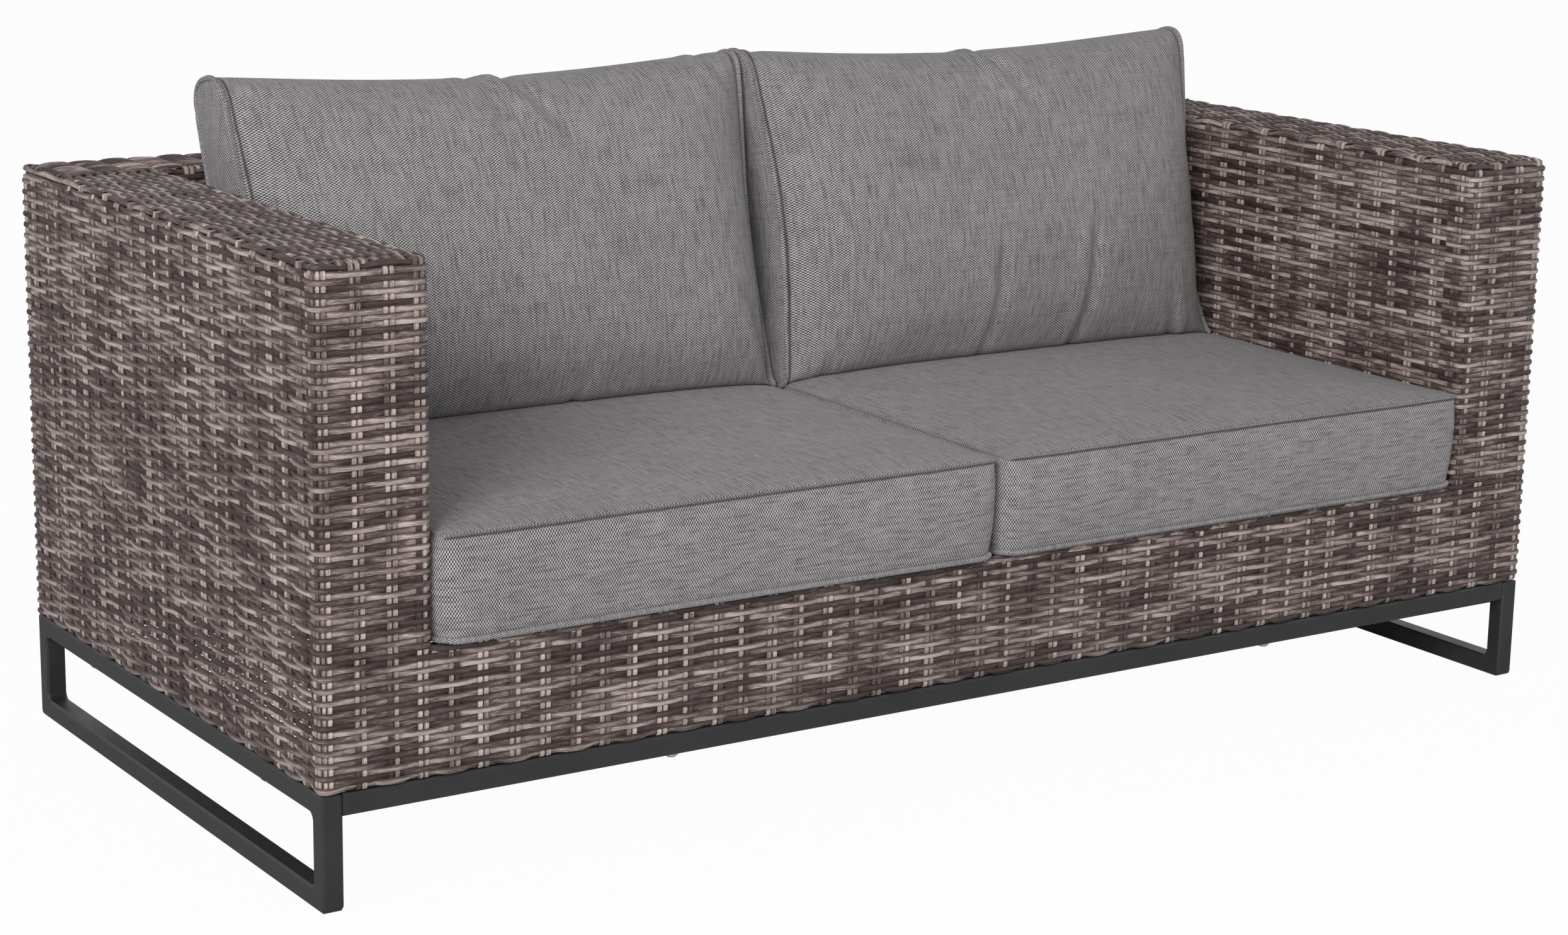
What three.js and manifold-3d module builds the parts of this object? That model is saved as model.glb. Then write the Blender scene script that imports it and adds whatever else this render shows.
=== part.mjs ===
// Rattan garden sofa: a woven two-seater body on a sled base, with loose seat and back cushions.
// Millimetres. X runs along the sofa, the front faces -Y, Z is up and the floor is at zero.
import * as THREE from "three";
import { mergeVertices } from "three/addons/utils/BufferGeometryUtils.js";
import Module from "manifold-3d";

const wasm = await Module();
wasm.setup();

// Overall sizes of the woven body
const length = 1700;
const depth = 800;
const bodyTop = 676;
const deckTop = 268;
const armWidth = 133;
const backWidth = 115;

// Gap left between pieces that touch, and how far a cutter overruns what it cuts
const clearance = 0.3;
const overrun = 1;

// Sled base of welded square tube
const baseHeight = 127;
const baseTube = 24;
const baseRim = 2.5;
const baseInset = 3;
const skidCorner = 7;
const weldFillet = 8;
const crossRailCount = 2;

// Bolts that hold the body on the base
const boltRadius = 4;
const boltGrip = 18;
const boltHeadRadius = 7.5;
const boltHeadHeight = 4.5;
const boltSocketRadius = 2.5;
const boltSocketDepth = 2.5;
const boltSides = 16;
const railBoltShare = 0.5;
const sideBoltShare = 0.62;

// Welded aluminium frame inside the weave
const frameTube = 25;
const frameRim = 1.5;
const armSpacerSetback = 110;
const backSpacerShares = [-0.66, 0, 0.66];
const seatBearerShares = [-1, -0.5, 0, 0.5, 1];

// Woven skins
const weave = 8;
const weaveLift = 2;
const weaveCorner = 12;
const weaveReturn = 30;
const topCorner = 7;

// Seat cushions: a boxed foam block in a zipped cover
const cushionGap = 3;
const seatCorner = 34;
const seatBorder = 117;
const seatCrown = 36;
const seatCrownPower = 3;
const seatEdge = 5;
const seatBorderBulge = 2;
const seatDrawIn = 4;
const seatCrownShares = [0.97, 0.89, 0.76, 0.58, 0.36, 0.14];

// Back cushions: a wrap of cloth round a fibre fill, with an arched panel at each side
const backCushionGap = 22;
const backArmGap = 16;
const backHeight = 440;
const backPanelFoot = 108;
const backPanelTop = 74;
const backFrontCrown = 58;
const backRearCrown = 134;
const backSeamBow = 20;
const backTopSag = 34;
const backDrawIn = 7;
const backSideBulge = 7;
const backStandOut = 249;
const backLean = THREE.MathUtils.degToRad(14);
const backStationShares = [1, 0.94, 0.84, 0.68, 0.48, 0.25, 0];
const backDomeShares = [[0.86, 0.6], [0.5, 1]];
const backBulgeSkew = 0.75;
const backBulgePower = 0.6;
const backCrownPower = 3;

// Cover cloth, the zips and the room round a filling
const coverCloth = 4;
const fillingRoom = 0.8;
const zipLength = 520;
const zipWidth = 9;
const zipRise = 90;
const cushionSeat = 0.8;
const formSteps = 4;
const fillingSteps = 2;

// Derived places
const halfLength = length / 2;
const front = -depth / 2;
const rear = depth / 2;
const armFace = halfLength - armWidth;
const backFace = rear - backWidth;
const skinFace = weave + clearance;
const frameBottom = baseHeight + clearance;
const frameTop = bodyTop - skinFace;
const weaveBottom = baseHeight + weaveLift;
const deckFrameTop = deckTop - skinFace;
const deckFrameBottom = deckFrameTop - frameTube;
const sideFrameInside = halfLength - skinFace - frameTube;
const frontFrameInside = front + skinFace + frameTube;
const rearFrameInside = rear - skinFace - frameTube;
const armFrameFace = armFace + skinFace;
const backFrameFace = backFace + skinFace;
const seatBottom = deckTop + clearance;
const seatWidth = armFace - cushionGap;
const seatDepth = backFace - front - 2 * clearance;
const seatCentre = new THREE.Vector2((armFace + clearance) / 2, (front + backFace) / 2);

// Finishes
const powderCoat = { color: 0x37393a, roughness: 0.45, metalness: 0.5 };
const aluminium = { color: 0x55585a, roughness: 0.5, metalness: 0.8 };
const steel = { color: 0x9a9c9e, roughness: 0.35, metalness: 1 };
const rattan = { color: 0x7a6e69, roughness: 0.62, metalness: 0 };
const cloth = { color: 0x827f7f, roughness: 0.95, metalness: 0 };
const filling = { color: 0xe8e4d8, roughness: 1, metalness: 0 };
const zipTape = { color: 0x2c2c2d, roughness: 0.8, metalness: 0 };

const sofa = new THREE.Group();
const sides = { left: -1, right: 1 };

// A named mesh in its own finish, placed in the sofa's frame.
function addPiece(name, geometry, finish, x = 0, y = 0, z = 0) {
  const mesh = new THREE.Mesh(geometry, new THREE.MeshStandardMaterial(finish));
  mesh.name = name;
  mesh.position.set(x, y, z);
  sofa.add(mesh);
}

// Adds an arc of the radius at a right-angled corner, between the corners before and after it.
function roundCorner(path, [x, y, radius], before, after) {
  const corner = new THREE.Vector2(x, y);
  const back = new THREE.Vector2(...before).sub(corner).normalize();
  const on = new THREE.Vector2(...after).sub(corner).normalize();
  const centre = corner.clone().addScaledVector(back, radius).addScaledVector(on, radius);
  const start = Math.atan2(-on.y, -on.x);
  path.absarc(centre.x, centre.y, radius, start, Math.atan2(-back.y, -back.x), back.cross(on) > 0);
}

// A closed outline through right-angled corners, each given as x, y and radius.
function outline(corners, Kind = THREE.Shape) {
  const path = new Kind();
  corners.forEach((corner, i) => {
    const before = corners[(i + corners.length - 1) % corners.length].slice(0, 2);
    const after = corners[(i + 1) % corners.length].slice(0, 2);
    if (corner[2] > 0) roundCorner(path, corner, before, after);
    else if (i === 0) path.moveTo(corner[0], corner[1]);
    else path.lineTo(corner[0], corner[1]);
  });
  path.closePath();
  return path;
}

// A rectangle with one radius at its lower and one at its upper corners.
function rectangle(x0, x1, y0, y1, lower = 0, upper = lower, Kind = THREE.Shape) {
  return outline([[x0, y0, lower], [x1, y0, lower], [x1, y1, upper], [x0, y1, upper]], Kind);
}

// Thickens a shape, with its edges eased by the rim.
function thicken(shape, thickness, rim = 0, curveSegments = 4) {
  return new THREE.ExtrudeGeometry(shape, {
    depth: thickness - 2 * rim,
    bevelEnabled: rim > 0,
    bevelThickness: rim,
    bevelSize: rim,
    bevelOffset: -rim,
    bevelSegments: 1,
    curveSegments,
  }).translate(0, 0, rim);
}

const xAxis = new THREE.Vector3(1, 0, 0);
const yAxis = new THREE.Vector3(0, 1, 0);
const zAxis = new THREE.Vector3(0, 0, 1);

// Stands a slab drawn in Y and Z across the plane X = 0.
function acrossX(slab, thickness) {
  const turned = new THREE.Matrix4().makeBasis(yAxis, zAxis, xAxis);
  return slab.translate(0, 0, -thickness / 2).applyMatrix4(turned);
}

// Stands a slab drawn in X and Z across the plane Y = 0.
function acrossY(slab, thickness) {
  const turned = new THREE.Matrix4().makeBasis(xAxis, zAxis, yAxis.clone().negate());
  return slab.translate(0, 0, -thickness / 2).applyMatrix4(turned);
}

// A solid for joining and cutting.
function toSolid(geometry) {
  const plain = geometry.clone();
  plain.deleteAttribute("normal");
  plain.deleteAttribute("uv");
  const merged = mergeVertices(plain);
  return new wasm.Manifold(new wasm.Mesh({
    numProp: 3,
    vertProperties: new Float32Array(merged.attributes.position.array),
    triVerts: new Uint32Array(merged.index.array),
  }));
}

function toGeometry(solid) {
  const { numProp, numVert, vertProperties, triVerts } = solid.getMesh();
  const geometry = new THREE.BufferGeometry();
  const points = new Float32Array(vertProperties.slice(0, numVert * numProp));
  geometry.setAttribute("position", new THREE.BufferAttribute(points, numProp));
  geometry.setIndex(new THREE.BufferAttribute(triVerts, 1));
  return geometry;
}

// Cuts each hole out of the body.
function cut(body, holes) {
  return toGeometry(holes.reduce((left, hole) => left.subtract(toSolid(hole)), toSolid(body)));
}

// Joins pieces into one solid.
function weld(pieces) {
  return toGeometry(pieces.map(toSolid).reduce((joined, piece) => joined.add(piece)));
}

// A block between two corners.
function block(x0, x1, y0, y1, z0, z1) {
  const box = new THREE.BoxGeometry(x1 - x0, y1 - y0, z1 - z0);
  return box.translate((x0 + x1) / 2, (y0 + y1) / 2, (z0 + z1) / 2);
}

// An upright drilling of the bolt's size.
function boltHole(x, y, z0, z1) {
  const bore = new THREE.CylinderGeometry(
    boltRadius + clearance, boltRadius + clearance, z1 - z0, boltSides);
  return bore.rotateX(Math.PI / 2).translate(x, y, (z0 + z1) / 2);
}

// Where the bolts stand: on the front and rear rails, and on each side's top rail
const railLine = depth / 2 - baseInset - baseTube / 2;
const sideLine = halfLength - baseInset - baseTube / 2;
const railBoltX = railBoltShare * halfLength;
const sideBoltY = sideBoltShare * railLine;
const boltTop = frameBottom + boltGrip;

// The drillings for bolts in one row, seen in a piece's own frame.
const drillings = (places, z0, z1) => places.map(([x, y]) => boltHole(x, y, z0, z1));

// One sled side: skid, two legs and top rail in one welded loop.
function sledSide() {
  const reach = depth / 2 - baseInset;
  const loop = rectangle(-reach, reach, 0, baseHeight, skidCorner, 0);
  const inside = reach - baseTube;
  const window = rectangle(
    -inside, inside, baseTube, baseHeight - baseTube, weldFillet, weldFillet, THREE.Path);
  loop.holes.push(window);
  const places = [[0, -sideBoltY], [0, sideBoltY]];
  const holes = drillings(places, baseHeight - baseTube - overrun, baseHeight + overrun);
  return cut(acrossX(thicken(loop, baseTube, baseRim), baseTube), holes);
}

// A rail between the sled sides, drilled for the bolts.
function baseRail() {
  const reach = sideLine - baseTube / 2 - clearance;
  const under = baseHeight - baseTube;
  const places = [[-railBoltX, 0], [railBoltX, 0]];
  const holes = drillings(places, under - overrun, baseHeight + overrun);
  const bar = thicken(rectangle(-reach, reach, under, baseHeight), baseTube, baseRim);
  return cut(acrossY(bar, baseTube), holes);
}

function addBase() {
  for (const [side, sign] of Object.entries(sides))
    addPiece(`${side}_sled_leg`, sledSide(), powderCoat, sign * sideLine);
  addPiece("front_base_rail", baseRail(), powderCoat, 0, -railLine);
  addPiece("rear_base_rail", baseRail(), powderCoat, 0, railLine);
  const crossReach = railLine - baseTube / 2 - clearance;
  const crossFace = rectangle(-baseTube / 2, baseTube / 2, baseHeight - baseTube, baseHeight);
  for (let i = 1; i <= crossRailCount; i++) {
    const x = (i / (crossRailCount + 1) - 1 / 2) * 2 * sideLine;
    const rail = acrossY(thicken(crossFace, 2 * crossReach, baseRim), 2 * crossReach);
    addPiece(`base_cross_rail_${i}`, rail, powderCoat, x);
  }
}

// A button-head bolt with its socket, head down, from the socket to the tip of its shank.
function bolt() {
  const under = baseHeight - baseTube - clearance;
  const foot = under - boltHeadHeight;
  const neck = under - boltHeadHeight / 2;
  const profile = [
    [0, foot + boltSocketDepth],
    [boltSocketRadius, foot + boltSocketDepth],
    [boltSocketRadius, foot],
    [(boltHeadRadius + boltSocketRadius) / 2, foot],
    [boltHeadRadius, neck],
    [boltHeadRadius, under],
    [boltRadius, under],
    [boltRadius, boltTop],
    [0, boltTop],
  ];
  const points = profile.map(([x, y]) => new THREE.Vector2(x, y));
  return new THREE.LatheGeometry(points, boltSides).rotateX(Math.PI / 2);
}

function addBolts() {
  const places = {
    front_left: [-railBoltX, -railLine], front_right: [railBoltX, -railLine],
    rear_left: [-railBoltX, railLine], rear_right: [railBoltX, railLine],
    left_front: [-sideLine, -sideBoltY], left_rear: [-sideLine, sideBoltY],
    right_front: [sideLine, -sideBoltY], right_rear: [sideLine, sideBoltY],
  };
  for (const [place, [x, y]] of Object.entries(places))
    addPiece(`base_bolt_${place}`, bolt(), steel, x, y);
}

// A welded panel: uprights and level tubes at the edges, and at the given columns and rows.
function tubePanel(x0, x1, y0, y1, columns, rows) {
  const uprights = [x0, ...columns, x1 - frameTube];
  const levels = [y0, ...rows, y1 - frameTube];
  const bars = [
    ...uprights.map((x) => rectangle(x, x + frameTube, y0, y1)),
    ...levels.map((y) => rectangle(x0, x1, y, y + frameTube)),
  ];
  return weld(bars.map((bar) => thicken(bar, frameTube, frameRim)));
}

// The near edges of tubes that stand at even spaces in a panel.
function evenTubes(start, end, count) {
  const step = (end - start) / (count + 1);
  return Array.from({ length: count }, (_, i) => start + (i + 1) * step - frameTube / 2);
}

// Adds the frame inside the weave: the outer panels, and the inner panels of the arms and the back.
function addFrame() {
  const outerY = [front + skinFace, rear - skinFace];
  const outerX = [-sideFrameInside + clearance, sideFrameInside - clearance];
  const drilled = [frameBottom - overrun, boltTop + clearance];

  const sideColumns = evenTubes(...outerY, 1);
  const sideOffset = sideFrameInside + frameTube / 2;
  for (const [side, sign] of Object.entries(sides)) {
    const x = sign * (sideLine - sideOffset);
    const holes = drillings([[x, -sideBoltY], [x, sideBoltY]], ...drilled);
    const panel = tubePanel(...outerY, frameBottom, frameTop, sideColumns, [deckFrameBottom]);
    const drilledPanel = cut(acrossX(panel, frameTube), holes);
    addPiece(`${side}_side_frame`, drilledPanel, aluminium, sign * sideOffset);
  }

  const frontOffset = frontFrameInside - frameTube / 2;
  const rearOffset = rearFrameInside + frameTube / 2;
  const longColumns = evenTubes(...outerX, 3);
  const apronPanel = tubePanel(...outerX, frameBottom, deckFrameTop, longColumns, []);
  const rearPanel = tubePanel(...outerX, frameBottom, frameTop, longColumns, [deckFrameBottom]);
  const railHoles = (y) => drillings([[-railBoltX, y], [railBoltX, y]], ...drilled);
  const apron = cut(acrossY(apronPanel, frameTube), railHoles(-railLine - frontOffset));
  const back = cut(acrossY(rearPanel, frameTube), railHoles(railLine - rearOffset));
  addPiece("front_apron_frame", apron, aluminium, 0, frontOffset);
  addPiece("rear_frame", back, aluminium, 0, rearOffset);

  const upperFoot = deckFrameTop + clearance;
  const armY = [front + skinFace, backFrameFace - clearance];
  for (const [side, sign] of Object.entries(sides)) {
    const panel = tubePanel(...armY, upperFoot, frameTop, evenTubes(...armY, 1), []);
    const x = sign * (armFrameFace + frameTube / 2);
    addPiece(`${side}_arm_inner_frame`, acrossX(panel, frameTube), aluminium, x);
  }
  const backReach = armFrameFace + frameTube;
  const backX = [-backReach, backReach];
  const backPanel = tubePanel(...backX, upperFoot, frameTop, evenTubes(...backX, 3), []);
  const backOffset = backFrameFace + frameTube / 2;
  addPiece("back_inner_frame", acrossY(backPanel, frameTube), aluminium, 0, backOffset);
}

// Tubes from front to rear that carry the seat deck and the inner panels standing on it.
function addSeatBearers() {
  const section = rectangle(-frameTube / 2, frameTube / 2, deckFrameBottom, deckFrameTop);
  const span = rearFrameInside - frontFrameInside - 2 * clearance;
  const middle = (rearFrameInside + frontFrameInside) / 2;
  seatBearerShares.forEach((share, i) => {
    const bearer = acrossY(thicken(section, span, frameRim), span);
    const x = share * (armFrameFace + frameTube / 2);
    addPiece(`seat_bearer_${i + 1}`, bearer, aluminium, x, middle);
  });
}

// Short tubes across the tops of the arms and the back, between their outer and inner panels.
function addSpacers() {
  const section = rectangle(-frameTube / 2, frameTube / 2, frameTop - frameTube, frameTop);
  const armFrom = armFrameFace + frameTube + clearance;
  const armTo = sideFrameInside - clearance;
  const places = { front: frontFrameInside - frameTube / 2, rear: backFrameFace - armSpacerSetback };
  for (const [side, sign] of Object.entries(sides))
    for (const [place, y] of Object.entries(places)) {
      const spacer = acrossX(thicken(section, armTo - armFrom, frameRim), armTo - armFrom);
      addPiece(`${side}_arm_spacer_${place}`, spacer, aluminium, sign * (armFrom + armTo) / 2, y);
    }
  const backFrom = backFrameFace + frameTube + clearance;
  const backTo = rearFrameInside - clearance;
  backSpacerShares.forEach((share, i) => {
    const spacer = acrossY(thicken(section, backTo - backFrom, frameRim), backTo - backFrom);
    addPiece(`back_spacer_${i + 1}`, spacer, aluminium, share * armFace, (backFrom + backTo) / 2);
  });
}

// A woven skin that turns round both of its upright edges, drawn in plan with its face at y = 0.
function wrappedPlan(halfWidth, returnLength) {
  const inside = halfWidth - weave;
  return outline([
    [-halfWidth, returnLength, 0],
    [-halfWidth, 0, weaveCorner],
    [halfWidth, 0, weaveCorner],
    [halfWidth, returnLength, 0],
    [inside, returnLength, 0],
    [inside, weave, 0],
    [-inside, weave, 0],
    [-inside, returnLength, 0],
  ]);
}

// The outer skins that stand on the base, and the skins of the arms, back and deck.
function addWeave() {
  const skinTop = frameTop;
  const fullHeight = skinTop - weaveBottom;
  const outerPlan = wrappedPlan(halfLength, weaveReturn);
  const apron = thicken(outerPlan, deckTop - weaveBottom);
  addPiece("front_apron_weave", apron, rattan, 0, front, weaveBottom);
  const rearSkin = thicken(outerPlan, fullHeight).rotateZ(Math.PI);
  addPiece("rear_weave", rearSkin, rattan, 0, rear, weaveBottom);

  const sideReach = depth / 2 - weaveReturn - clearance;
  const sideFace = rectangle(-sideReach, sideReach, weaveBottom, skinTop);
  const armPlan = wrappedPlan(armWidth / 2, weaveReturn);
  const armFoot = deckTop + clearance;
  const innerFace = rectangle(
    front + weaveReturn + clearance, backFace - clearance, deckTop + clearance, skinTop);
  for (const [side, sign] of Object.entries(sides)) {
    const armX = sign * (halfLength - armWidth / 2);
    const outside = acrossX(thicken(sideFace, weave), weave);
    const inside = acrossX(thicken(innerFace, weave), weave);
    addPiece(`${side}_side_weave`, outside, rattan, sign * (halfLength - weave / 2));
    addPiece(`${side}_arm_front_weave`, thicken(armPlan, skinTop - armFoot), rattan, armX, front, armFoot);
    addPiece(`${side}_arm_inner_weave`, inside, rattan, sign * (armFace + weave / 2));
  }

  const between = armFrameFace - clearance;
  const backSheet = thicken(rectangle(-between, between, deckTop + clearance, skinTop), weave);
  addPiece("back_inner_weave", acrossY(backSheet, weave), rattan, 0, backFace + weave / 2);
  const deck = rectangle(-between, between, front + skinFace, backFrameFace - clearance);
  addPiece("seat_deck_weave", thicken(deck, weave), rattan, 0, 0, deckTop - weave);
}

// A top skin with its rims rounded over, except along its rear edge, which stays square.
function topSkin(halfWidth, y0, y1) {
  const levels = [0, 1 / 3, 2 / 3, 1].map((share) => {
    const angle = share * Math.PI / 2;
    return [topCorner * (1 - Math.cos(angle)), weave - topCorner * (1 - Math.sin(angle))];
  });
  const ring = (inset, z) => ringOf(rectangle(
    -halfWidth + inset, halfWidth - inset, y0 + inset, y1, weaveCorner - inset, 0).getPoints(4), z);
  return skinRings([ring(0, 0), ...levels.map(([inset, z]) => ring(inset, z))]);
}

// The arms' top skins, and the back's, which runs the full length behind them.
function addTopWeave() {
  const z = bodyTop - weave;
  for (const [side, sign] of Object.entries(sides)) {
    const skin = topSkin(armWidth / 2, 0, backFace - front);
    addPiece(`${side}_arm_top_weave`, skin, rattan, sign * (halfLength - armWidth / 2), front, z);
  }
  const backSkin = topSkin(halfLength, 0, backWidth - clearance).rotateZ(Math.PI);
  addPiece("back_top_weave", backSkin, rattan, 0, rear, z);
}

// The points of a plan outline at one height.
function ringOf(points, z) {
  const open = points[0].distanceTo(points[points.length - 1]) < clearance;
  const unique = open ? points.slice(0, -1) : points;
  return unique.map((point) => new THREE.Vector3(point.x, point.y, z));
}

// A closed solid through a stack of rings with like point counts, each end closed by a fan.
function skinRings(rings) {
  const count = rings[0].length;
  const points = rings.flat();
  const index = [];
  const ends = [[0, -1], [rings.length - 1, 1]];
  for (let r = 0; r + 1 < rings.length; r++)
    for (let i = 0; i < count; i++) {
      const a = r * count + i;
      const b = r * count + (i + 1) % count;
      index.push(a, b, b + count, a, b + count, a + count);
    }
  for (const [ring, facing] of ends) {
    const centre = points.length;
    const middle = new THREE.Vector3();
    rings[ring].forEach((point) => middle.addScaledVector(point, 1 / count));
    points.push(middle);
    for (let i = 0; i < count; i++) {
      const edge = [ring * count + i, ring * count + (i + 1) % count];
      index.push(...(facing > 0 ? edge : edge.reverse()), centre);
    }
  }
  const geometry = new THREE.BufferGeometry().setFromPoints(points);
  geometry.setIndex(index);
  return geometry;
}

// A cushion's plan: round corners, and sides drawn in between them.
function cushionPlan(halfWidth, halfDepth, corner, drawIn, steps) {
  const points = [];
  const centres = [[1, 1], [-1, 1], [-1, -1], [1, -1]];
  centres.forEach(([sx, sy], k) => {
    const centre = new THREE.Vector2(sx * (halfWidth - corner), sy * (halfDepth - corner));
    for (let i = 0; i <= steps; i++) {
      const angle = (k + i / steps) * Math.PI / 2;
      points.push(new THREE.Vector2(Math.cos(angle), Math.sin(angle)).multiplyScalar(corner).add(centre));
    }
    const [nx, ny] = centres[(k + 1) % centres.length];
    const from = points[points.length - 1];
    const inward = new THREE.Vector2(-(sx + nx) / 2, -(sy + ny) / 2);
    const next = new THREE.Vector2(nx * (halfWidth - corner), ny * (halfDepth - corner));
    const to = next.addScaledVector(inward, -corner);
    for (let i = 1; i < steps; i++) {
      const share = i / steps;
      const depthHere = drawIn * Math.sin(Math.PI * share);
      points.push(from.clone().lerp(to, share).addScaledVector(inward, depthHere));
    }
  });
  return points;
}

// How far a seat cushion's top stands over its seam, by how near the seam the point is.
const seatRise = (share) => seatCrown * (1 - share ** seatCrownPower);

// A seat cushion's body, shrunk on every side by the given wall.
function seatForm(wall, steps, drawIn = seatDrawIn) {
  const plan = (inset) => cushionPlan(
    seatWidth / 2 - wall - inset, seatDepth / 2 - wall - inset, seatCorner - wall - inset, drawIn, steps);
  const seam = seatBorder - wall;
  const rings = [
    ringOf(plan(seatEdge + seatBorderBulge), wall),
    ringOf(plan(seatBorderBulge), wall + seatEdge),
    ringOf(plan(0), wall + (seatBorder - wall) / 2),
    ringOf(plan(seatBorderBulge), seam),
  ];
  const top = plan(seatBorderBulge);
  for (const share of seatCrownShares)
    rings.push(ringOf(top.map((point) => point.clone().multiplyScalar(share)), seam + seatRise(share)));
  return skinRings(rings);
}

// Half the thickness of a back cushion's side panel at a height share, closing in an arch.
function panelHalf(share, arch) {
  const flat = THREE.MathUtils.lerp(backPanelFoot, backPanelTop, share) / 2;
  const over = Math.max(share - (1 - arch), 0) / arch;
  return flat * Math.sqrt(Math.max(1 - over * over, 0));
}

// One upright section of a back cushion, at a share of its half width from the middle.
function backSection(across, wall, steps) {
  const archShare = backPanelTop / 2 / backHeight;
  const high = backHeight - 2 * wall - backTopSag * (1 - across * across);
  const crown = 1 - Math.abs(across) ** backCrownPower;
  const bulge = (share) => Math.max(Math.sin(Math.PI * share ** backBulgeSkew), 0) ** backBulgePower;
  const point = (share, facing) => {
    const half = Math.max(panelHalf(share, archShare) - wall, 0);
    const swell = facing < 0 ? backFrontCrown : backRearCrown;
    const bow = backSeamBow * Math.sin(Math.PI * share);
    return [facing * (half + swell * crown * bulge(share)) - bow + backPanelFoot / 2, wall + share * high];
  };
  const shares = [];
  for (let i = 0; i <= 2 * steps; i++) shares.push(i / (2 * steps) * (1 - archShare));
  for (let i = 1; i < steps; i++) shares.push(1 - archShare * (1 - Math.sin(i / steps * Math.PI / 2)));
  const up = shares.map((share) => point(share, 1));
  const down = shares.map((share) => point(share, -1)).reverse();
  const foot = [];
  for (let i = 1; i < 2 * steps; i++) foot.push([
    THREE.MathUtils.lerp(down[down.length - 1][0], up[0][0], i / (2 * steps)), wall]);
  return [...up, point(1, 1), ...down, ...foot];
}

// Where a back cushion stands: from the seam beside the other cushion to the one beside the arm
const backInnerSeam = backCushionGap / 2;
const backOuterSeam = armFace - backArmGap;
const backCentre = (backInnerSeam + backOuterSeam) / 2;
const backHalfWidth = (backOuterSeam - backInnerSeam) / 2;
const backFoot = seatBottom + seatBorder;

// A place in a back cushion's leaning section, in the sofa's frame.
function leanBack(x, u, w, wall) {
  const y = backFace - backStandOut + u * Math.cos(backLean) + w * Math.sin(backLean);
  const z = backFoot - u * Math.sin(backLean) + w * Math.cos(backLean);
  return new THREE.Vector3(x, Math.min(y, backFace - clearance - wall), z);
}

// A ring of a back cushion: a section drawn towards its middle and set at a place across.
function backRing(across, size, outward, wall, steps) {
  const section = backSection(across, wall, steps);
  const middle = [0, 1].map((k) => section.reduce((sum, point) => sum + point[k], 0) / section.length);
  return section.map((point) => {
    const [u, w] = point.map((value, k) => middle[k] + (value - middle[k]) * size);
    const pull = backDrawIn * Math.sin(Math.PI * THREE.MathUtils.clamp(w / backHeight, 0, 1));
    const x = backCentre + (backHalfWidth - wall - pull) * across + Math.sign(across) * outward;
    return leanBack(x, u, w, wall);
  });
}

// A back cushion's body, shrunk by the wall and hollowed underneath by the seat cushion it stands on.
function backForm(wall, steps, stationShares) {
  const stations = [...stationShares.map((share) => -share), ...stationShares.slice(0, -1).reverse()];
  const domes = backDomeShares.map(([size, rise]) => [size, rise * backSideBulge]);
  const rings = [
    ...domes.map(([size, rise]) => backRing(-1, size, rise, wall, steps)).reverse(),
    ...stations.map((across) => backRing(across, 1, 0, wall, steps)),
    ...domes.map(([size, rise]) => backRing(1, size, rise, wall, steps)),
  ];
  const seat = seatForm(-cushionSeat - wall, formSteps, 0);
  return cut(skinRings(rings), [seat.translate(seatCentre.x, seatCentre.y, seatBottom)]);
}

// A cover: the cushion's form hollowed for its filling and slit for its zip, and the zip's tape.
function zippedCover(form, hollow, slitAt) {
  const shell = toSolid(form).subtract(toSolid(hollow));
  return {
    cover: toGeometry(shell.subtract(toSolid(slitAt(0)))),
    zip: toGeometry(shell.intersect(toSolid(slitAt(clearance)))),
  };
}

// A copy of a right-hand piece for the side: mirrored, and its faces turned out again, on the left.
function toSide(geometry, sign) {
  const copy = geometry.clone().applyMatrix4(new THREE.Matrix4().makeScale(sign, 1, 1));
  if (sign < 0) copy.index.array.reverse();
  return copy;
}

function addSeatCushions() {
  const form = seatForm(0, formSteps);
  const hollow = seatForm(coverCloth, fillingSteps);
  const { cover, zip } = zippedCover(form, hollow, (inset) => block(
    -zipLength / 2 + inset, zipLength / 2 - inset,
    seatDepth / 2 - seatCorner, seatDepth / 2 + overrun,
    (seatBorder - zipWidth) / 2 + inset, (seatBorder + zipWidth) / 2 - inset));
  const foam = seatForm(coverCloth + fillingRoom, fillingSteps);
  for (const [side, sign] of Object.entries(sides)) {
    const place = [sign * seatCentre.x, seatCentre.y, seatBottom];
    addPiece(`${side}_seat_cushion_cover`, cover.clone(), cloth, ...place);
    addPiece(`${side}_seat_cushion_foam`, foam.clone(), filling, ...place);
    addPiece(`${side}_seat_cushion_zip`, zip.clone(), zipTape, ...place);
  }
}

function addBackCushions() {
  const hollowShares = backStationShares.filter((_, i) => i % 2 === 0);
  const form = backForm(0, formSteps, backStationShares);
  const hollow = backForm(coverCloth, fillingSteps, hollowShares);
  const fill = backForm(coverCloth + fillingRoom, fillingSteps, hollowShares);
  const zipHeight = backFoot + zipRise;
  const { cover, zip } = zippedCover(form, hollow, (inset) => block(
    backCentre - zipLength / 2 + inset, backCentre + zipLength / 2 - inset,
    backFace - backRearCrown, backFace + overrun,
    zipHeight - zipWidth / 2 + inset, zipHeight + zipWidth / 2 - inset));
  for (const [side, sign] of Object.entries(sides)) {
    addPiece(`${side}_back_cushion_cover`, toSide(cover, sign), cloth);
    addPiece(`${side}_back_cushion_fill`, toSide(fill, sign), filling);
    addPiece(`${side}_back_cushion_zip`, toSide(zip, sign), zipTape);
  }
}

addBase();
addBolts();
addFrame();
addSeatBearers();
addSpacers();
addWeave();
addTopWeave();
addSeatCushions();
addBackCushions();

export default sofa;
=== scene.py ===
"""Rattan garden sofa: woven skins, sled base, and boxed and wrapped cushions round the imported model."""

import math

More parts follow.
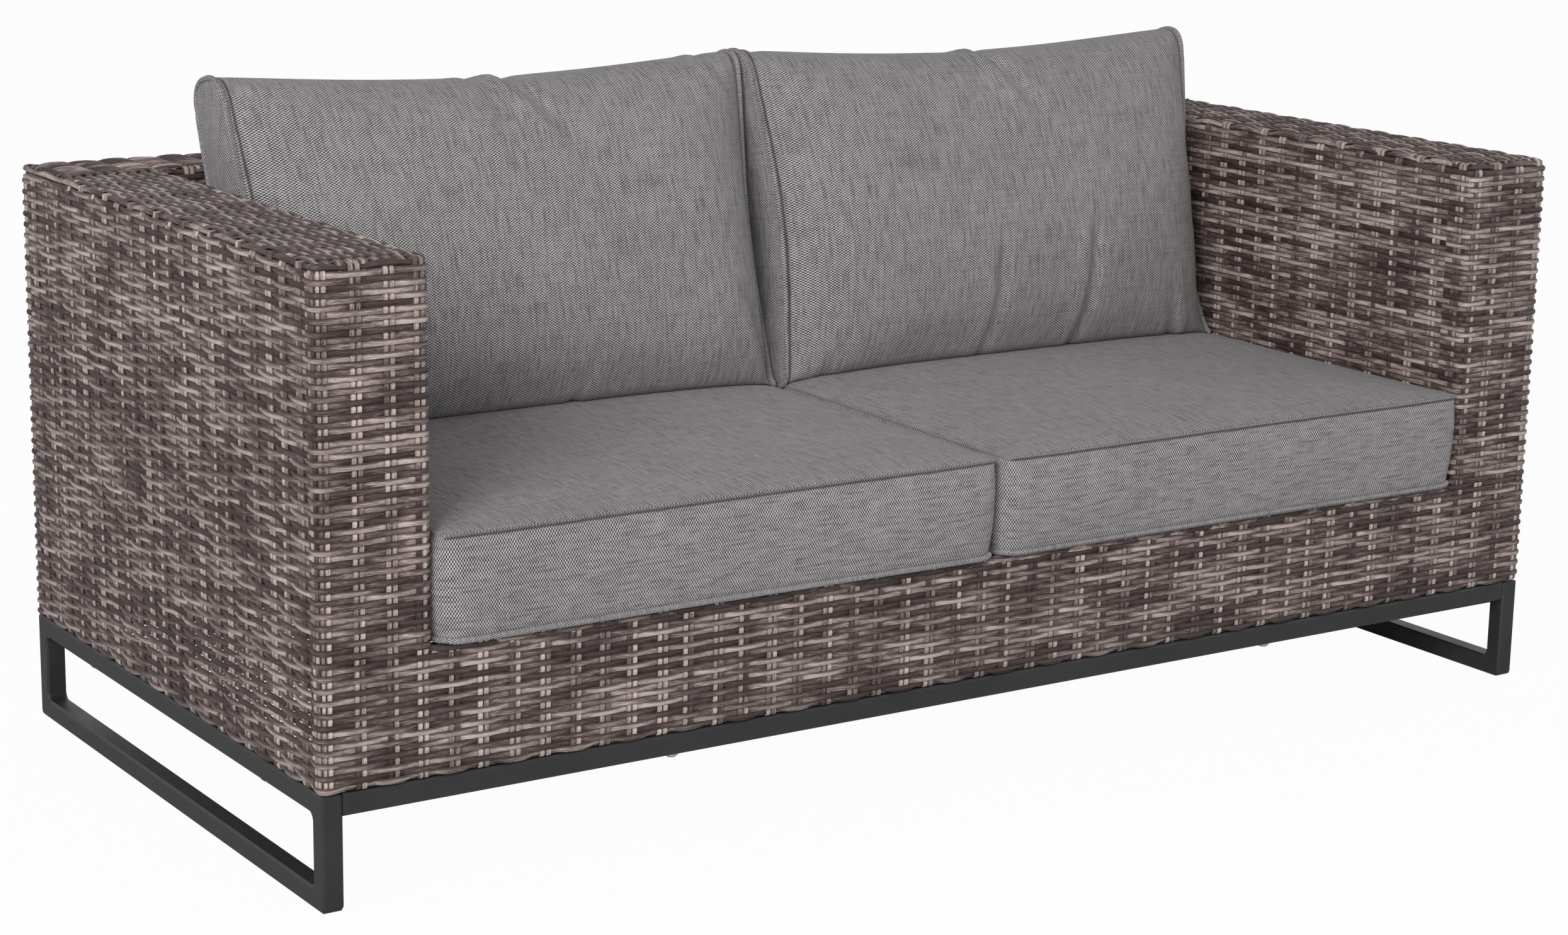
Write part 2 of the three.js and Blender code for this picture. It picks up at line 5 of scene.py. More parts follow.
import bpy
import numpy as np
from bpy.props import FloatProperty, FloatVectorProperty, IntProperty, PointerProperty
from mathutils import Matrix, Vector
from mathutils.bvhtree import BVHTree


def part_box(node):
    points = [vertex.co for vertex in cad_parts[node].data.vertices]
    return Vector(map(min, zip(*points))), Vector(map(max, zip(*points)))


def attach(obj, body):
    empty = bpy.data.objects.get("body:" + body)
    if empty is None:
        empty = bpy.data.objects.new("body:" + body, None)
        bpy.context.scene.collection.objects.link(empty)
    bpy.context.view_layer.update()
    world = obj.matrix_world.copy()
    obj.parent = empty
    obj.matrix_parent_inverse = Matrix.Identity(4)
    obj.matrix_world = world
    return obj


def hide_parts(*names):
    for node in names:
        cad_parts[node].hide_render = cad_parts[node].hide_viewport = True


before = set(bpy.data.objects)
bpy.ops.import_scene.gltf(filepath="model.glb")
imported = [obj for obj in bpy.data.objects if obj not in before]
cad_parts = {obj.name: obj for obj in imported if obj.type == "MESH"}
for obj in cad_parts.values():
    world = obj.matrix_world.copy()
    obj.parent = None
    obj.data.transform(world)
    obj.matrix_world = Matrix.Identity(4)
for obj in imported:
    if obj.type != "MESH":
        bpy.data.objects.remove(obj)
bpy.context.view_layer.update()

bl_info = {
    "name": "Rattan garden sofa",
    "version": (1, 0, 0),
    "blender": (4, 5, 0),
    "location": "3D View > Sidebar > Sofa",
    "description": "Weaves the skins, sews the cushions and finishes the base of a garden sofa",
    "category": "Object",
}

SIDES = {"left": -1, "right": 1}
BODY = "sofa_body"


# Sizes and colours

def metres(name, description, default):
    return FloatProperty(name=name, description=description, default=default, unit="LENGTH", precision=5)


def degrees(name, description, default):
    return FloatProperty(
        name=name, description=description, default=math.radians(default), subtype="ANGLE")


def ratio(name, description, default):
    return FloatProperty(name=name, description=description, default=default)


def paint(name, description, default):
    return FloatVectorProperty(name=name, description=description, default=default, subtype="COLOR")


class SofaWeave(bpy.types.PropertyGroup):
    """Sizes of the strands and of the weave they make"""
    row: metres("Row pitch", "From one level strand to the next", 0.0066)
    width: metres("Strand half width", "Half the mean width of a level strand", 0.0034)
    spread: ratio("Spread", "Share by which a level strand widens over an upright pair", 0.04)
    hidden_spread: ratio(
        "Hidden spread", "Share by which a level strand widens behind an upright pair", 0.52)
    thickness: metres("Strand thickness", "Thickness of a level strand", 0.0026)
    upright_width: metres("Upright half width", "Half the width of an upright strand", 0.0032)
    upright_thickness: metres("Upright thickness", "Thickness of an upright strand", 0.0017)
    pair: metres("Pair spacing", "Between the middles of the two uprights of a pair", 0.0072)
    swing: metres("Swing", "How far a level strand stands out over an upright", 0.0022)
    upright_swing: metres("Upright swing", "How far an upright is pushed aside by a level strand", 0.0006)
    depth: metres("Depth", "From the skin's outer face to the middle of the weave", 0.0034)
    corner: metres("Corner", "Radius of the weave's middle round an upright edge", 0.0085)
    hem: metres("Hem", "Radius in which the uprights turn in under the lowest row", 0.003)
    pair_stray: metres("Pair stray", "How far a pair may stand from its even place", 0.002)
    rim: metres("Rim", "Radius of the weave's middle over a top edge", 0.007)
    tuck: metres("Tuck", "How deep a strand's end is drawn in under what it meets", 0.0042)
    tuck_reach: metres("Tuck reach", "Length over which a strand's end is drawn in", 0.009)
    wander: metres("Wander", "How far a strand strays from its line", 0.00026)
    steps: IntProperty(
        name="Steps", description="Faces along a strand from one pair to the next", default=6, min=4)


class SofaCushions(bpy.types.PropertyGroup):
    """Sizes of the cushions' panels, seams and filling"""
    cell: metres("Cell", "Size of the faces from which a cover is sewn", 0.0115)
    seam_height: metres("Seam height", "Height of a seat cushion's border", 0.117)
    corner: metres("Corner", "Radius of a seat cushion's corners at its top seam, in plan", 0.014)
    foot_corner: metres(
        "Foot corner", "Radius of a seat cushion's corners at its bottom seam, in plan", 0.026)
    lift_reach: metres("Lift reach", "Length over which the top seam rises to a corner", 0.046)
    draw_in: metres("Draw-in", "How far a seat cushion's sides are drawn in between its corners", 0.003)
    overhang: metres("Overhang", "How far a seat cushion's front stands out over the woven front", 0.010)
    bulge: metres("Bulge", "How far a seat cushion's border stands out between its seams", 0.004)
    corner_lift: metres("Corner lift", "How far a seat cushion's top seam rises at its corners", 0.001)
    crown: metres("Crown", "Rise of a seat cushion's top over its seam before it is filled", 0.006)
    crown_power: ratio("Crown power", "Squareness of a seat cushion's crown", 4.5)
    seat_reach: metres("Seat reach", "How far filling may push a seat cushion's cloth", 0.006)
    back_height: metres("Back height", "Height of a back cushion's side panels along their lean", 0.424)
    back_foot: metres("Foot", "Thickness of a back cushion's side panels at the foot", 0.108)
    back_top: metres("Top", "Thickness of a back cushion's side panels below their arch", 0.074)
    front_crown: metres("Front crown", "Swell of a back cushion's front at its middle", 0.054)
    front_crown_power: ratio(
        "Front crown power", "Squareness of a back cushion's front from side to side", 9.0)
    rear_crown: metres("Rear crown", "Swell of a back cushion's rear at its middle", 0.13)
    back_crown_power: ratio(
        "Back crown power", "Squareness of a back cushion's rear from side to side", 5.0)
    arch_power: ratio("Arch power", "Squareness of the side panels' arch", 2.6)
    recess: metres("Recess", "How far the front of one side seam is drawn in behind the swell", 0.026)
    shove: metres("Shove", "How much further out the right back cushion's top has settled", 0.010)
    ear: metres("Ear", "How far a back cushion's corners poke out at the foot", 0.013)
    ear_height: metres("Ear height", "Height over which the ears at the foot fade out", 0.042)
    seam_bow: metres("Bow", "How far the side panels bow forward at half height", 0.008)
    top_sag: metres("Top sag", "How far the top edge sinks between its ears", 0.009)
    back_draw_in: metres(
        "Back draw-in", "How far a back cushion's sides are drawn in at half height", 0.002)
    flare: metres("Flare", "How far a back cushion's corners stand out at the foot and the top", 0.0075)
    side_bulge: metres("Side bulge", "Swell of the side panels", 0.003)
    stand_out: metres("Stand-out", "From a back cushion's front foot to the woven back", 0.229)
    lean: degrees("Lean", "How far the back cushions lean back", 11.4)
    outer_draw: metres("Outer draw", "How far a back cushion's outer end stands in from its space", 0.007)
    foot_draw: metres("Foot draw", "How far a back cushion's outer end is drawn in at its foot", 0.018)
    back_reach: metres("Back reach", "How far filling may push a back cushion's cloth", 0.009)
    pressure: ratio("Pressure", "Pressure of the filling in the simulation", 4.0)
    slack: ratio("Slack", "Share by which the cloth is longer than the shape it covers", 0.006)
    piping: metres("Piping", "Radius of the piping on the seams", 0.0034)
    welt: metres("Welt", "Radius of the welt on a seat cushion's top seam", 0.0015)
    rest: metres("Rest", "Air left where cloth rests on cloth or on the weave", 0.0012)
    room: metres("Room", "From a seat cover's outside to its foam", 0.009)
    back_room: metres("Back room", "From a back cover's outside to its filling", 0.014)
    zip_width: metres("Zip width", "Half the width of a zip's tapes", 0.0095)
    zip_teeth: metres("Zip teeth", "From one tooth of a zip to the next", 0.0016)
    yarn: metres("Yarn pitch", "From one warp yarn of the cloth to the next", 0.0025)
    stitch: metres("Stitch", "From a piped seam to the stitched line beside it", 0.008)


class SofaColours(bpy.types.PropertyGroup):
    """Colours of the finishes"""
    rattan_pale: paint("Pale rattan", "Lightest stretches of the strands", (0.60, 0.495, 0.46))
    rattan_mid: paint("Rattan", "Middle tone of the strands", (0.168, 0.121, 0.112))
    rattan_dark: paint("Dark rattan", "Darkest stretches of the strands", (0.038, 0.025, 0.023))
    yarn_pale: paint("Pale yarn", "Light yarn of the cloth", (0.50, 0.472, 0.479))
    yarn_dark: paint("Dark yarn", "Dark yarn of the cloth", (0.022, 0.020, 0.021))
    powder_coat: paint("Powder coat", "Finish of the sled base", (0.024, 0.025, 0.026))
    aluminium: paint("Aluminium", "Bare frame inside the weave", (0.30, 0.30, 0.31))
    steel: paint("Steel", "Bolts", (0.03, 0.031, 0.032))
    filling: paint("Filling", "Foam and fibre inside the covers", (0.72, 0.69, 0.6))
    zip_tape: paint("Zip tape", "Tape and teeth of the zips", (0.03, 0.03, 0.031))


class SofaView(bpy.types.PropertyGroup):
    """Where the camera stands and how it looks"""
    azimuth: degrees("Azimuth", "Turn about the upright axis, zero looking along +Y", -33.45)
    elevation: degrees("Elevation", "Height of the camera over the target, as an angle", 13.22)
    roll: degrees("Roll", "Tilt of the picture", 0.96)
    distance: metres("Distance", "From the camera to its target", 4.03073)
    lens: ratio("Lens", "Focal length in millimetres", 74.89)
    target: FloatVectorProperty(
        name="Target", description="Point in the middle of the picture",
        subtype="XYZ", default=(-0.02953, 0.0, 0.29592))


def settings(name):
    return getattr(bpy.context.scene, name)


# Meshes

def deselect():
    for piece in bpy.context.selected_objects:
        piece.select_set(False)


def make_active(piece):
    deselect()
    piece.select_set(True)
    bpy.context.view_layer.objects.active = piece


def new_mesh(name, points, faces):
    mesh = bpy.data.meshes.new(name)
    mesh.from_pydata(points, [], faces)
    piece = bpy.data.objects.new(name, mesh)
    bpy.context.scene.collection.objects.link(piece)
    return piece


# Strands

class Strands:
    """Strands gathered for one mesh: their points, their faces and where each point lies in its strand."""

    def __init__(self, seed):
        self.random = np.random.default_rng(seed)
        self.points, self.coordinates, self.faces, self.caps = [], [], [], []
        self.count = 0

    def add(self, points, along, upright=False):
        """Adds strands from an array of strand, step, section point and axis, with each step's distance."""
        lines, steps, ring, _ = points.shape
        index = self.count + np.arange(lines * steps * ring).reshape(lines, steps, ring)
        here, there = index[:, :-1], index[:, 1:]
        quads = np.stack(
            [here, np.roll(here, -1, 2), np.roll(there, -1, 2), there], -1).reshape(-1, 4)
        caps = np.concatenate([index[:, 0, ::-1], index[:, -1]])
        if signed_volume(points[0]) < 0:
            quads, caps = quads[:, ::-1], caps[:, ::-1]
        around = np.linalg.norm(np.diff(points[:1, :1], axis=2), axis=-1)
        across = np.concatenate([[0], np.cumsum(around[0, 0])])
        coordinates = np.empty((lines, steps, ring, 3))
        start = self.random.uniform(0, 40, lines)
        coordinates[..., 0] = start[:, None, None] + along[None, :, None]
        coordinates[..., 1] = across[None, None, :]
        coordinates[..., 2] = self.random.uniform(0, 1, lines)[:, None, None] + upright
        self.points.append(points.reshape(-1, 3))
        self.coordinates.append(coordinates.reshape(-1, 3))
        self.faces.extend(quads.tolist())
        self.caps.extend(caps.tolist())
        self.count += lines * steps * ring

    def add_solid(self, points, coordinates, faces):
        """Adds a closed solid with faces of its own."""
        self.points.append(points)
        self.coordinates.append(coordinates)
        self.faces.extend([tuple(self.count + corner for corner in face) for face in faces])
        self.count += len(points)

    def piece(self, name):
        """The strands as one object, smooth along the strands and flat at their ends."""
        piece = new_mesh(name, np.concatenate(self.points), self.faces + self.caps)
        mesh = piece.data
        attribute = mesh.attributes.new("strand", "FLOAT_VECTOR", "POINT")
        attribute.data.foreach_set("vector", np.concatenate(self.coordinates).ravel())
        sharp = mesh.attributes.new("sharp_face", "BOOLEAN", "FACE")
        flags = np.zeros(len(mesh.polygons), bool)
        flags[len(self.faces):] = True
        sharp.data.foreach_set("value", flags)
        return piece


def signed_volume(tube):
    """Volume between a tube's faces and the origin of its first point, positive when they face out."""
    local = tube - tube[0, 0]
    a, b = local[:-1], np.roll(local[:-1], -1, 1)
    c, d = np.roll(local[1:], -1, 1), local[1:]
    return np.sum(np.cross(a, b) * c) + np.sum(np.cross(a, c) * d)


# Sections of a strand as shares of its half width and of its thickness: level ones round, uprights flat
LEVEL_SECTION = np.array([[-1, -0.5], [-0.72, 0.15], [0, 0.5], [0.72, 0.15], [1, -0.5]])
UPRIGHT_SECTION = np.array([[-1, -0.45], [-0.6, 0.5], [0.6, 0.5], [1, -0.45]])


def fold(distance, low, high, rim):
    """Follows a line that turns over in a quarter round past both ends: its place, drop and slope."""
    over = np.maximum(np.maximum(distance - high, low - distance), 0)
    side = np.where(distance > high, 1.0, -1.0)
    angle = np.minimum(over / rim, math.pi / 2)
    place = np.clip(distance, low, high) + side * rim * np.sin(angle)
    drop = rim * (1 - np.cos(angle)) + over - angle * rim
    return place, drop, side * angle


class Wall:
    """A surface that stands on a plan path with rounded corners and turns inward past its ends."""

    def __init__(self, corners, radius, low, high, low_rim, high_rim, width):
        self.width = width
        self.corners = np.array(corners, float)
        legs = np.roll(self.corners, -1, 0) - self.corners
        self.lengths = np.linalg.norm(legs, axis=1)
        self.directions = legs / self.lengths[:, None]
        self.starts = np.concatenate([[0], np.cumsum(self.lengths)])
        self.radius = radius
        self.low, self.high, self.low_rim, self.high_rim = low, high, low_rim, high_rim

    def follow(self, distance):
        """Plan places and outward directions at distances along the closed path."""
        wrapped = distance % self.starts[-1]
        count = len(self.lengths)
        leg = np.clip(np.searchsorted(self.starts, wrapped, side="right") - 1, 0, count - 1)
        into = wrapped - self.starts[leg]
        tangent = self.directions[leg]
        place = self.corners[leg] + tangent * into[..., None]
        left = self.lengths[leg] - into
        for turning, signed, before, after in (
            (into < self.radius, into, (leg - 1) % count, leg),
            (left < self.radius, -left, leg, (leg + 1) % count),
        ):
            angle = (signed / self.radius + 1) * math.pi / 4
            sine, cosine = np.sin(angle)[..., None], np.cos(angle)[..., None]
            old, new = self.directions[before], self.directions[after]
            centre = self.corners[after] + self.radius * (new - old)
            on_arc = centre + self.radius * (old * sine - new * cosine)
            place = np.where(turning[..., None], on_arc, place)
            tangent = np.where(turning[..., None], new * sine + old * cosine, tangent)
        return place, np.stack([tangent[..., 1], -tangent[..., 0]], -1)

    def place(self, along, up, out):
        """Points at a distance along the path, a height along the wall and a height off its middle."""
        along, up, out = np.broadcast_arrays(along, up, out)
        plan, outward = self.follow(along)
        rim = np.where(up > (self.low + self.high) / 2, self.high_rim, self.low_rim)
        height, inward, slope = fold(up, self.low, self.high, rim)
        level = (out * np.cos(slope) - inward)[..., None]
        return np.concatenate([plan + outward * level, (height + out * np.sin(slope))[..., None]], -1)


class Tray:
    """A level surface that turns down past its edges: along runs on one axis, across on the other."""

    def __init__(self, origin, along_axis, across_axis, half_along, half_across, rim, width):
        self.width = width
        self.origin = np.array(origin, float)
        self.along_axis, self.across_axis = np.array(along_axis, float), np.array(across_axis, float)
        self.half_along, self.half_across, self.rim = half_along, half_across, rim

    def place(self, along, across, out):
        along, across, out = np.broadcast_arrays(along, across, out)
        a, a_drop, a_slope = fold(along, -self.half_along, self.half_along, self.rim)
        b, b_drop, b_slope = fold(across, -self.half_across, self.half_across, self.rim)
        normal = np.stack([
            np.sin(a_slope) * np.cos(b_slope), np.sin(b_slope), np.cos(a_slope) * np.cos(b_slope)], -1)
        normal /= np.linalg.norm(normal, axis=-1, keepdims=True)
        up = np.array([0, 0, 1.0])
        base = self.origin + a[..., None] * self.along_axis + b[..., None] * self.across_axis
        base = base - (a_drop + b_drop)[..., None] * up
        lift = (normal[..., :1] * self.along_axis + normal[..., 1:2] * self.across_axis
                + normal[..., 2:] * up)
        return base + lift * out[..., None]


def even(start, end, count):
    """Places that divide a stretch in equal cells, with both ends."""
    return np.linspace(start, end, count + 1)


def ease(value, low, high):
    """Rises smoothly from 0 at low to 1 at high."""
    share = np.clip((value - low) / (high - low), 0, 1)
    return share * share * (3 - 2 * share)


# How strands differ: lengths of the two waves in which they wander, then the least and the most of a
# wave's share of its length, of the swing's share, of what the width gains, and of an upright's share
WANDER_WAVES = (0.31, 0.13)
WAVE_SHARES = (0.8, 1.25)
SWING_SHARES = (0.92, 1.08)
WIDTH_STRAY = (-0.03, 0.03)
UPRIGHT_SHARES = (0.93, 1.04)

# How much a level strand's wave is flattened at its crests, and between what depths of it the
# strand widens behind an upright
CREST = 1.5
HIDDEN_WAVE = (-0.3, 0.5)

# Steps in a turn, how far in reaches other steps keep off a turn, the length of a step
# at an upright's ends, and what counts as no distance
TURN_STEPS = 6
TURN_MARGIN = 1.15
END_STEP = 0.002
HAIR = 1e-6


def stray(random, lines, along, reach):
    """Slow wandering of each line along its length, as a sum of two waves."""
    total = np.zeros((lines, len(along)))
    for length in WANDER_WAVES:
        phase = random.uniform(0, 2 * math.pi, (lines, 1))
        pitch = length * random.uniform(*WAVE_SHARES, (lines, 1))
        total += np.sin(2 * math.pi * along[None, :] / pitch + phase)
    return total * reach / 2


def tuck(height, along, low, high, reach):
    """Draws a strand's ends down under what they meet, at the low and the high end where asked."""
    depth = settings("sofa_weave").tuck
    under = np.zeros(len(along))
    if low is not None:
        under = np.maximum(under, 1 - ease(along, low, low + reach))
    if high is not None:
        under = np.maximum(under, ease(along, high - reach, high))
    return height * (1 - under) - depth * under


def within(samples, low, high):
    """Samples in order, each once, from low to high."""
    samples = np.unique(np.round(samples, 6))
    return samples[(samples >= low - HAIR) & (samples <= high + HAIR)]


def weave_levels(
        strands, surface, rows, row_index, stations, cells, start, end, turns=(), tucks=(None, None)):
    """Adds a surface's level strands: each goes over one pair of uprights and under the next."""
    sizes = settings("sofa_weave")
    samples = [start, end]
    for a, b in zip(stations[:-1], stations[1:]):
        samples.extend(even(a, b, sizes.steps))
    for turn, reach in turns:
        samples = [place for place in samples if abs(place - turn) > reach * TURN_MARGIN]
        samples.extend(even(turn - reach, turn + reach, TURN_STEPS))
    samples = within(samples, start, end)
    phase = np.interp(samples, stations, cells)
    wave = np.cos(math.pi * (phase[None, :] - np.array(row_index)[:, None]))
    wave = np.tanh(CREST * wave) / math.tanh(CREST)
    random = strands.random
    height = sizes.swing * wave * random.uniform(*SWING_SHARES, (len(rows), 1))
    height += stray(random, len(rows), samples, sizes.wander * 0.5)
    height = tuck(height, samples, *tucks, sizes.tuck_reach)
    spread = sizes.spread * wave + sizes.hidden_spread * ease(-wave, *HIDDEN_WAVE)
    width = surface.width * (1 + spread + random.uniform(*WIDTH_STRAY, (len(rows), 1)))
    line = np.array(rows)[:, None] + stray(random, len(rows), samples, sizes.wander)
    side = line[:, :, None] + width[:, :, None] * LEVEL_SECTION[:, 0]
    out = height[:, :, None] + sizes.thickness * LEVEL_SECTION[:, 1]
    strands.add(surface.place(samples[None, :, None], side, out), samples)


def weave_uprights(strands, surface, pairs, rows, row_index, low, high, tucks=(None, None)):
    """Adds uprights, given as place and cell, swung against the level strands that cross them."""
    sizes = settings("sofa_weave")
    ends = [
        even(a, b, max(int((b - a) / END_STEP), 1)) for a, b in ((low, rows[0]), (rows[-1], high))]
    samples = within(np.concatenate([*ends, rows]), low, high)
    index = np.interp(samples, rows, row_index)
    for place, cell, offsets in pairs:
        lines = place + np.array(offsets)
        height = -sizes.upright_swing * np.cos(math.pi * (cell - index))
        height = tuck(height[None, :].repeat(len(lines), 0), samples, *tucks, sizes.tuck_reach)
        lean = stray(strands.random, len(lines), samples, sizes.wander)
        width = sizes.upright_width * strands.random.uniform(*UPRIGHT_SHARES, (len(lines), 1))
        side = (lines[:, None] + lean)[:, :, None] + width[:, :, None] * UPRIGHT_SECTION[:, 0]
        out = height[:, :, None] + sizes.upright_thickness * UPRIGHT_SECTION[:, 1]
        strands.add(surface.place(side, samples[None, :, None], out), samples, upright=True)


# Shader tools

class Net:
    """Adds nodes to a node tree and joins them, with sockets given by name or number."""

    def __init__(self, tree):
        self.tree = tree

    def add(self, kind, inputs=None, **values):
        node = self.tree.nodes.new("ShaderNode" + kind)
        for key, value in values.items():
            setattr(node, key, value)
        for key, value in (inputs or {}).items():
            if isinstance(value, bpy.types.NodeSocket):
                self.tree.links.new(value, node.inputs[key])
            else:
                node.inputs[key].default_value = value
        return node

    def maths(self, operation, *values, clamp=False):
        node = self.add("Math", dict(enumerate(values)), operation=operation, use_clamp=clamp)
        return node.outputs[0]

    def plus(self, first, second, clamp=False):
        return self.maths("ADD", first, second, clamp=clamp)

    def minus(self, first, second):
        return self.maths("SUBTRACT", first, second)

    def times(self, first, second):
        return self.maths("MULTIPLY", first, second)

    def combine(self, x=0.0, y=0.0, z=0.0):
        return self.add("CombineXYZ", {0: x, 1: y, 2: z}).outputs[0]

    def noise(self, vector, scale=1.0, detail=2.0, roughness=0.5):
        inputs = {"Vector": vector, "Scale": scale, "Detail": detail, "Roughness": roughness}
        return self.add("TexNoise", inputs).outputs["Fac"]

    def stretch(self, value, low, high, new_low=0.0, new_high=1.0):
        inputs = {0: value, 1: low, 2: high, 3: new_low, 4: new_high}
        return self.add("MapRange", inputs).outputs[0]

    def blend(self, share, first, second):
        node = self.add("Mix", data_type="RGBA")
        for socket, value in zip((node.inputs[0], node.inputs[6], node.inputs[7]), (share, first, second)):
            if isinstance(value, bpy.types.NodeSocket):
                self.tree.links.new(value, socket)
            else:
                socket.default_value = value if isinstance(value, float) else (*value[:3], 1.0)
        return node.outputs[2]


# Between what values a noise mostly lies, the colour of an input that is always given one, and what
# every effect gives
NOISE_RANGE = (0.3, 0.7)
WHITE = (1.0, 1.0, 1.0, 1.0)
RESULTS = (("Colour", "Color"), ("Roughness", "Float"), ("Height", "Float"))

# Height of the relief in each finish: fibres of a strand, yarns, and the peel of a powder coat
STRAND_RELIEF = 0.00035
CLOTH_RELIEF = 0.0005
COAT_RELIEF = 0.00012


def effect(name, inputs, build):
    """A shader node group built once: build takes its net and inputs and returns its results."""
    group = bpy.data.node_groups.get(name)
    if group:
        return group
    group = bpy.data.node_groups.new(name, "ShaderNodeTree")
    for label, kind, value in inputs:
        socket = group.interface.new_socket(label, in_out="INPUT", socket_type="NodeSocket" + kind)
        if value is not None:
            socket.default_value = value
    for label, kind in RESULTS:
        group.interface.new_socket(label, in_out="OUTPUT", socket_type="NodeSocket" + kind)
    net = Net(group)
    given = group.nodes.new("NodeGroupInput").outputs
    results = build(net, {label: given[label] for label, _, _ in inputs})
    end = group.nodes.new("NodeGroupOutput")
    for label, socket in results.items():
        group.links.new(socket, end.inputs[label])
    return group


class Finish:
    """A material: a Principled shader fed by an effect's colour, roughness and height."""

    def __init__(self, name, **plain):
        self.material = bpy.data.materials.new(name)
        self.material.use_nodes = True
        self.net = Net(self.material.node_tree)
        self.shader = self.material.node_tree.nodes["Principled BSDF"]
        for socket, value in plain.items():
            self.shader.inputs[socket.replace("_", " ")].default_value = value

    def place(self, group, **inputs):
        node = self.net.add("Group", node_tree=group)
        for key, value in inputs.items():
            socket = node.inputs[key.replace("_", " ")]
            if isinstance(value, bpy.types.NodeSocket):
                self.material.node_tree.links.new(value, socket)
            else:
                socket.default_value = value
        return node

    def feed(self, node, relief):
        links = self.material.node_tree.links
        links.new(node.outputs["Colour"], self.shader.inputs["Base Color"])
        links.new(node.outputs["Roughness"], self.shader.inputs["Roughness"])
        bump = self.net.add("Bump", {"Strength": 1.0, "Distance": relief, "Height": node.outputs["Height"]})
        links.new(bump.outputs["Normal"], self.shader.inputs["Normal"])
        return self.material


def colour(rgb):
    return (*rgb, 1.0)


def strand_effect():
    """Mottled tone and lengthwise fibres of an extruded strand, from its own coordinates, with painted shade
    darkening its flanks.
    """
    def build(net, given):
        split = net.add("SeparateXYZ", {0: given["Strand"]}).outputs
        along, across, own = split[0], split[1], split[2]
        own = net.times(own, 173.0)
        stretch = net.maths("DIVIDE", along, given["Mottle length"])
        mottle = net.noise(net.combine(stretch, own), 1.0, 1.5, 0.45)
        mottle = net.stretch(mottle, 0.36, 0.64)
        patch = net.stretch(net.noise(given["Place"], 11.0, 1.0), *NOISE_RANGE)
        bias = net.add("TexWhiteNoise", {"W": own}, noise_dimensions="1D").outputs["Value"]
        fibre_place = net.combine(
            net.times(along, 90.0), net.times(across, 2300.0), own)
        fibre = net.noise(fibre_place, 1.0, 3.0, 0.6)
        tone = net.times(mottle, 0.5)
        tone = net.plus(tone, net.times(patch, 0.07))
        tone = net.plus(tone, net.times(bias, 0.33))
        upright = net.maths("GREATER_THAN", split[2], 1.0)
        tone = net.plus(tone, net.times(upright, given["Upright lift"]))
        grain = net.times(net.minus(fibre, 0.5), given["Fibre contrast"])
        tone = net.plus(tone, grain, clamp=True)
        # Painted shade: the strand's flanks away from its crest are blended towards the dark tone, standing
        # in for the shadow between rows
        from_crest = net.maths("ABSOLUTE", net.minus(across, given["Crest"]))
        flank_shade_mask = net.stretch(from_crest, 0.0016, 0.0042)
        dark_half = net.stretch(tone, 0.26, 0.5)
        pale_half = net.stretch(tone, 0.46, 0.8)
        shade = net.blend(dark_half, given["Dark"], given["Mid"])
        shade = net.blend(pale_half, shade, given["Pale"])
        shade = net.blend(net.times(flank_shade_mask, given["Flank shade"]), shade, given["Dark"])
        return {
            "Colour": shade,
            "Roughness": net.stretch(fibre, *NOISE_RANGE, 0.38, 0.58),
            "Height": fibre,
        }

    inputs = [
        ("Strand", "Vector", None), ("Place", "Vector", None),
        ("Pale", "Color", WHITE), ("Mid", "Color", WHITE), ("Dark", "Color", WHITE),
        ("Mottle length", "Float", 0.105), ("Fibre contrast", "Float", 1.4),
        ("Crest", "Float", 0.0038), ("Flank shade", "Float", 0.88),
        ("Upright lift", "Float", 0.09)]
    return effect("strand_tone", inputs, build)


def rattan_finish():
    material = bpy.data.materials.get("mottled_rattan")
    if material:
        return material
    tones = settings("sofa_colours")
    finish = Finish("mottled_rattan", IOR=1.4)
    strand = finish.net.add("Attribute", attribute_name="strand").outputs["Vector"]
    place = finish.net.add("TexCoord").outputs["Object"]
    node = finish.place(
        strand_effect(), Strand=strand, Place=place, Pale=colour(tones.rattan_pale),
        Mid=colour(tones.rattan_mid), Dark=colour(tones.rattan_dark))
    return finish.feed(node, STRAND_RELIEF)


def coat_effect():
    """Fine orange-peel of a baked powder coat, with a slow drift of gloss."""
    def build(net, given):
        peel = net.noise(given["Place"], given["Peel scale"], 2.0, 0.5)
        drift = net.noise(given["Place"], 14.0, 3.0, 0.6)
        shade = net.blend(net.stretch(drift, *NOISE_RANGE), given["Dark"], given["Tone"])
        return {
            "Colour": shade,
            "Roughness": net.stretch(drift, *NOISE_RANGE, given["Gloss low"], given["Gloss high"]),
            "Height": peel,
        }

    inputs = [
        ("Place", "Vector", None), ("Tone", "Color", WHITE), ("Dark", "Color", WHITE),
        ("Peel scale", "Float", 900.0), ("Gloss low", "Float", 0.4), ("Gloss high", "Float", 0.5)]
    return effect("coated_metal", inputs, build)


def metal_finish(name, tone, dark, metallic, gloss):
    material = bpy.data.materials.get(name)
    if material:
        return material
    finish = Finish(name, Metallic=metallic)
    place = finish.net.add("TexCoord").outputs["Object"]
    node = finish.place(
        coat_effect(), Place=place, Tone=colour(tone), Dark=colour(dark),
        Gloss_low=gloss[0], Gloss_high=gloss[1])
    return finish.feed(node, COAT_RELIEF)


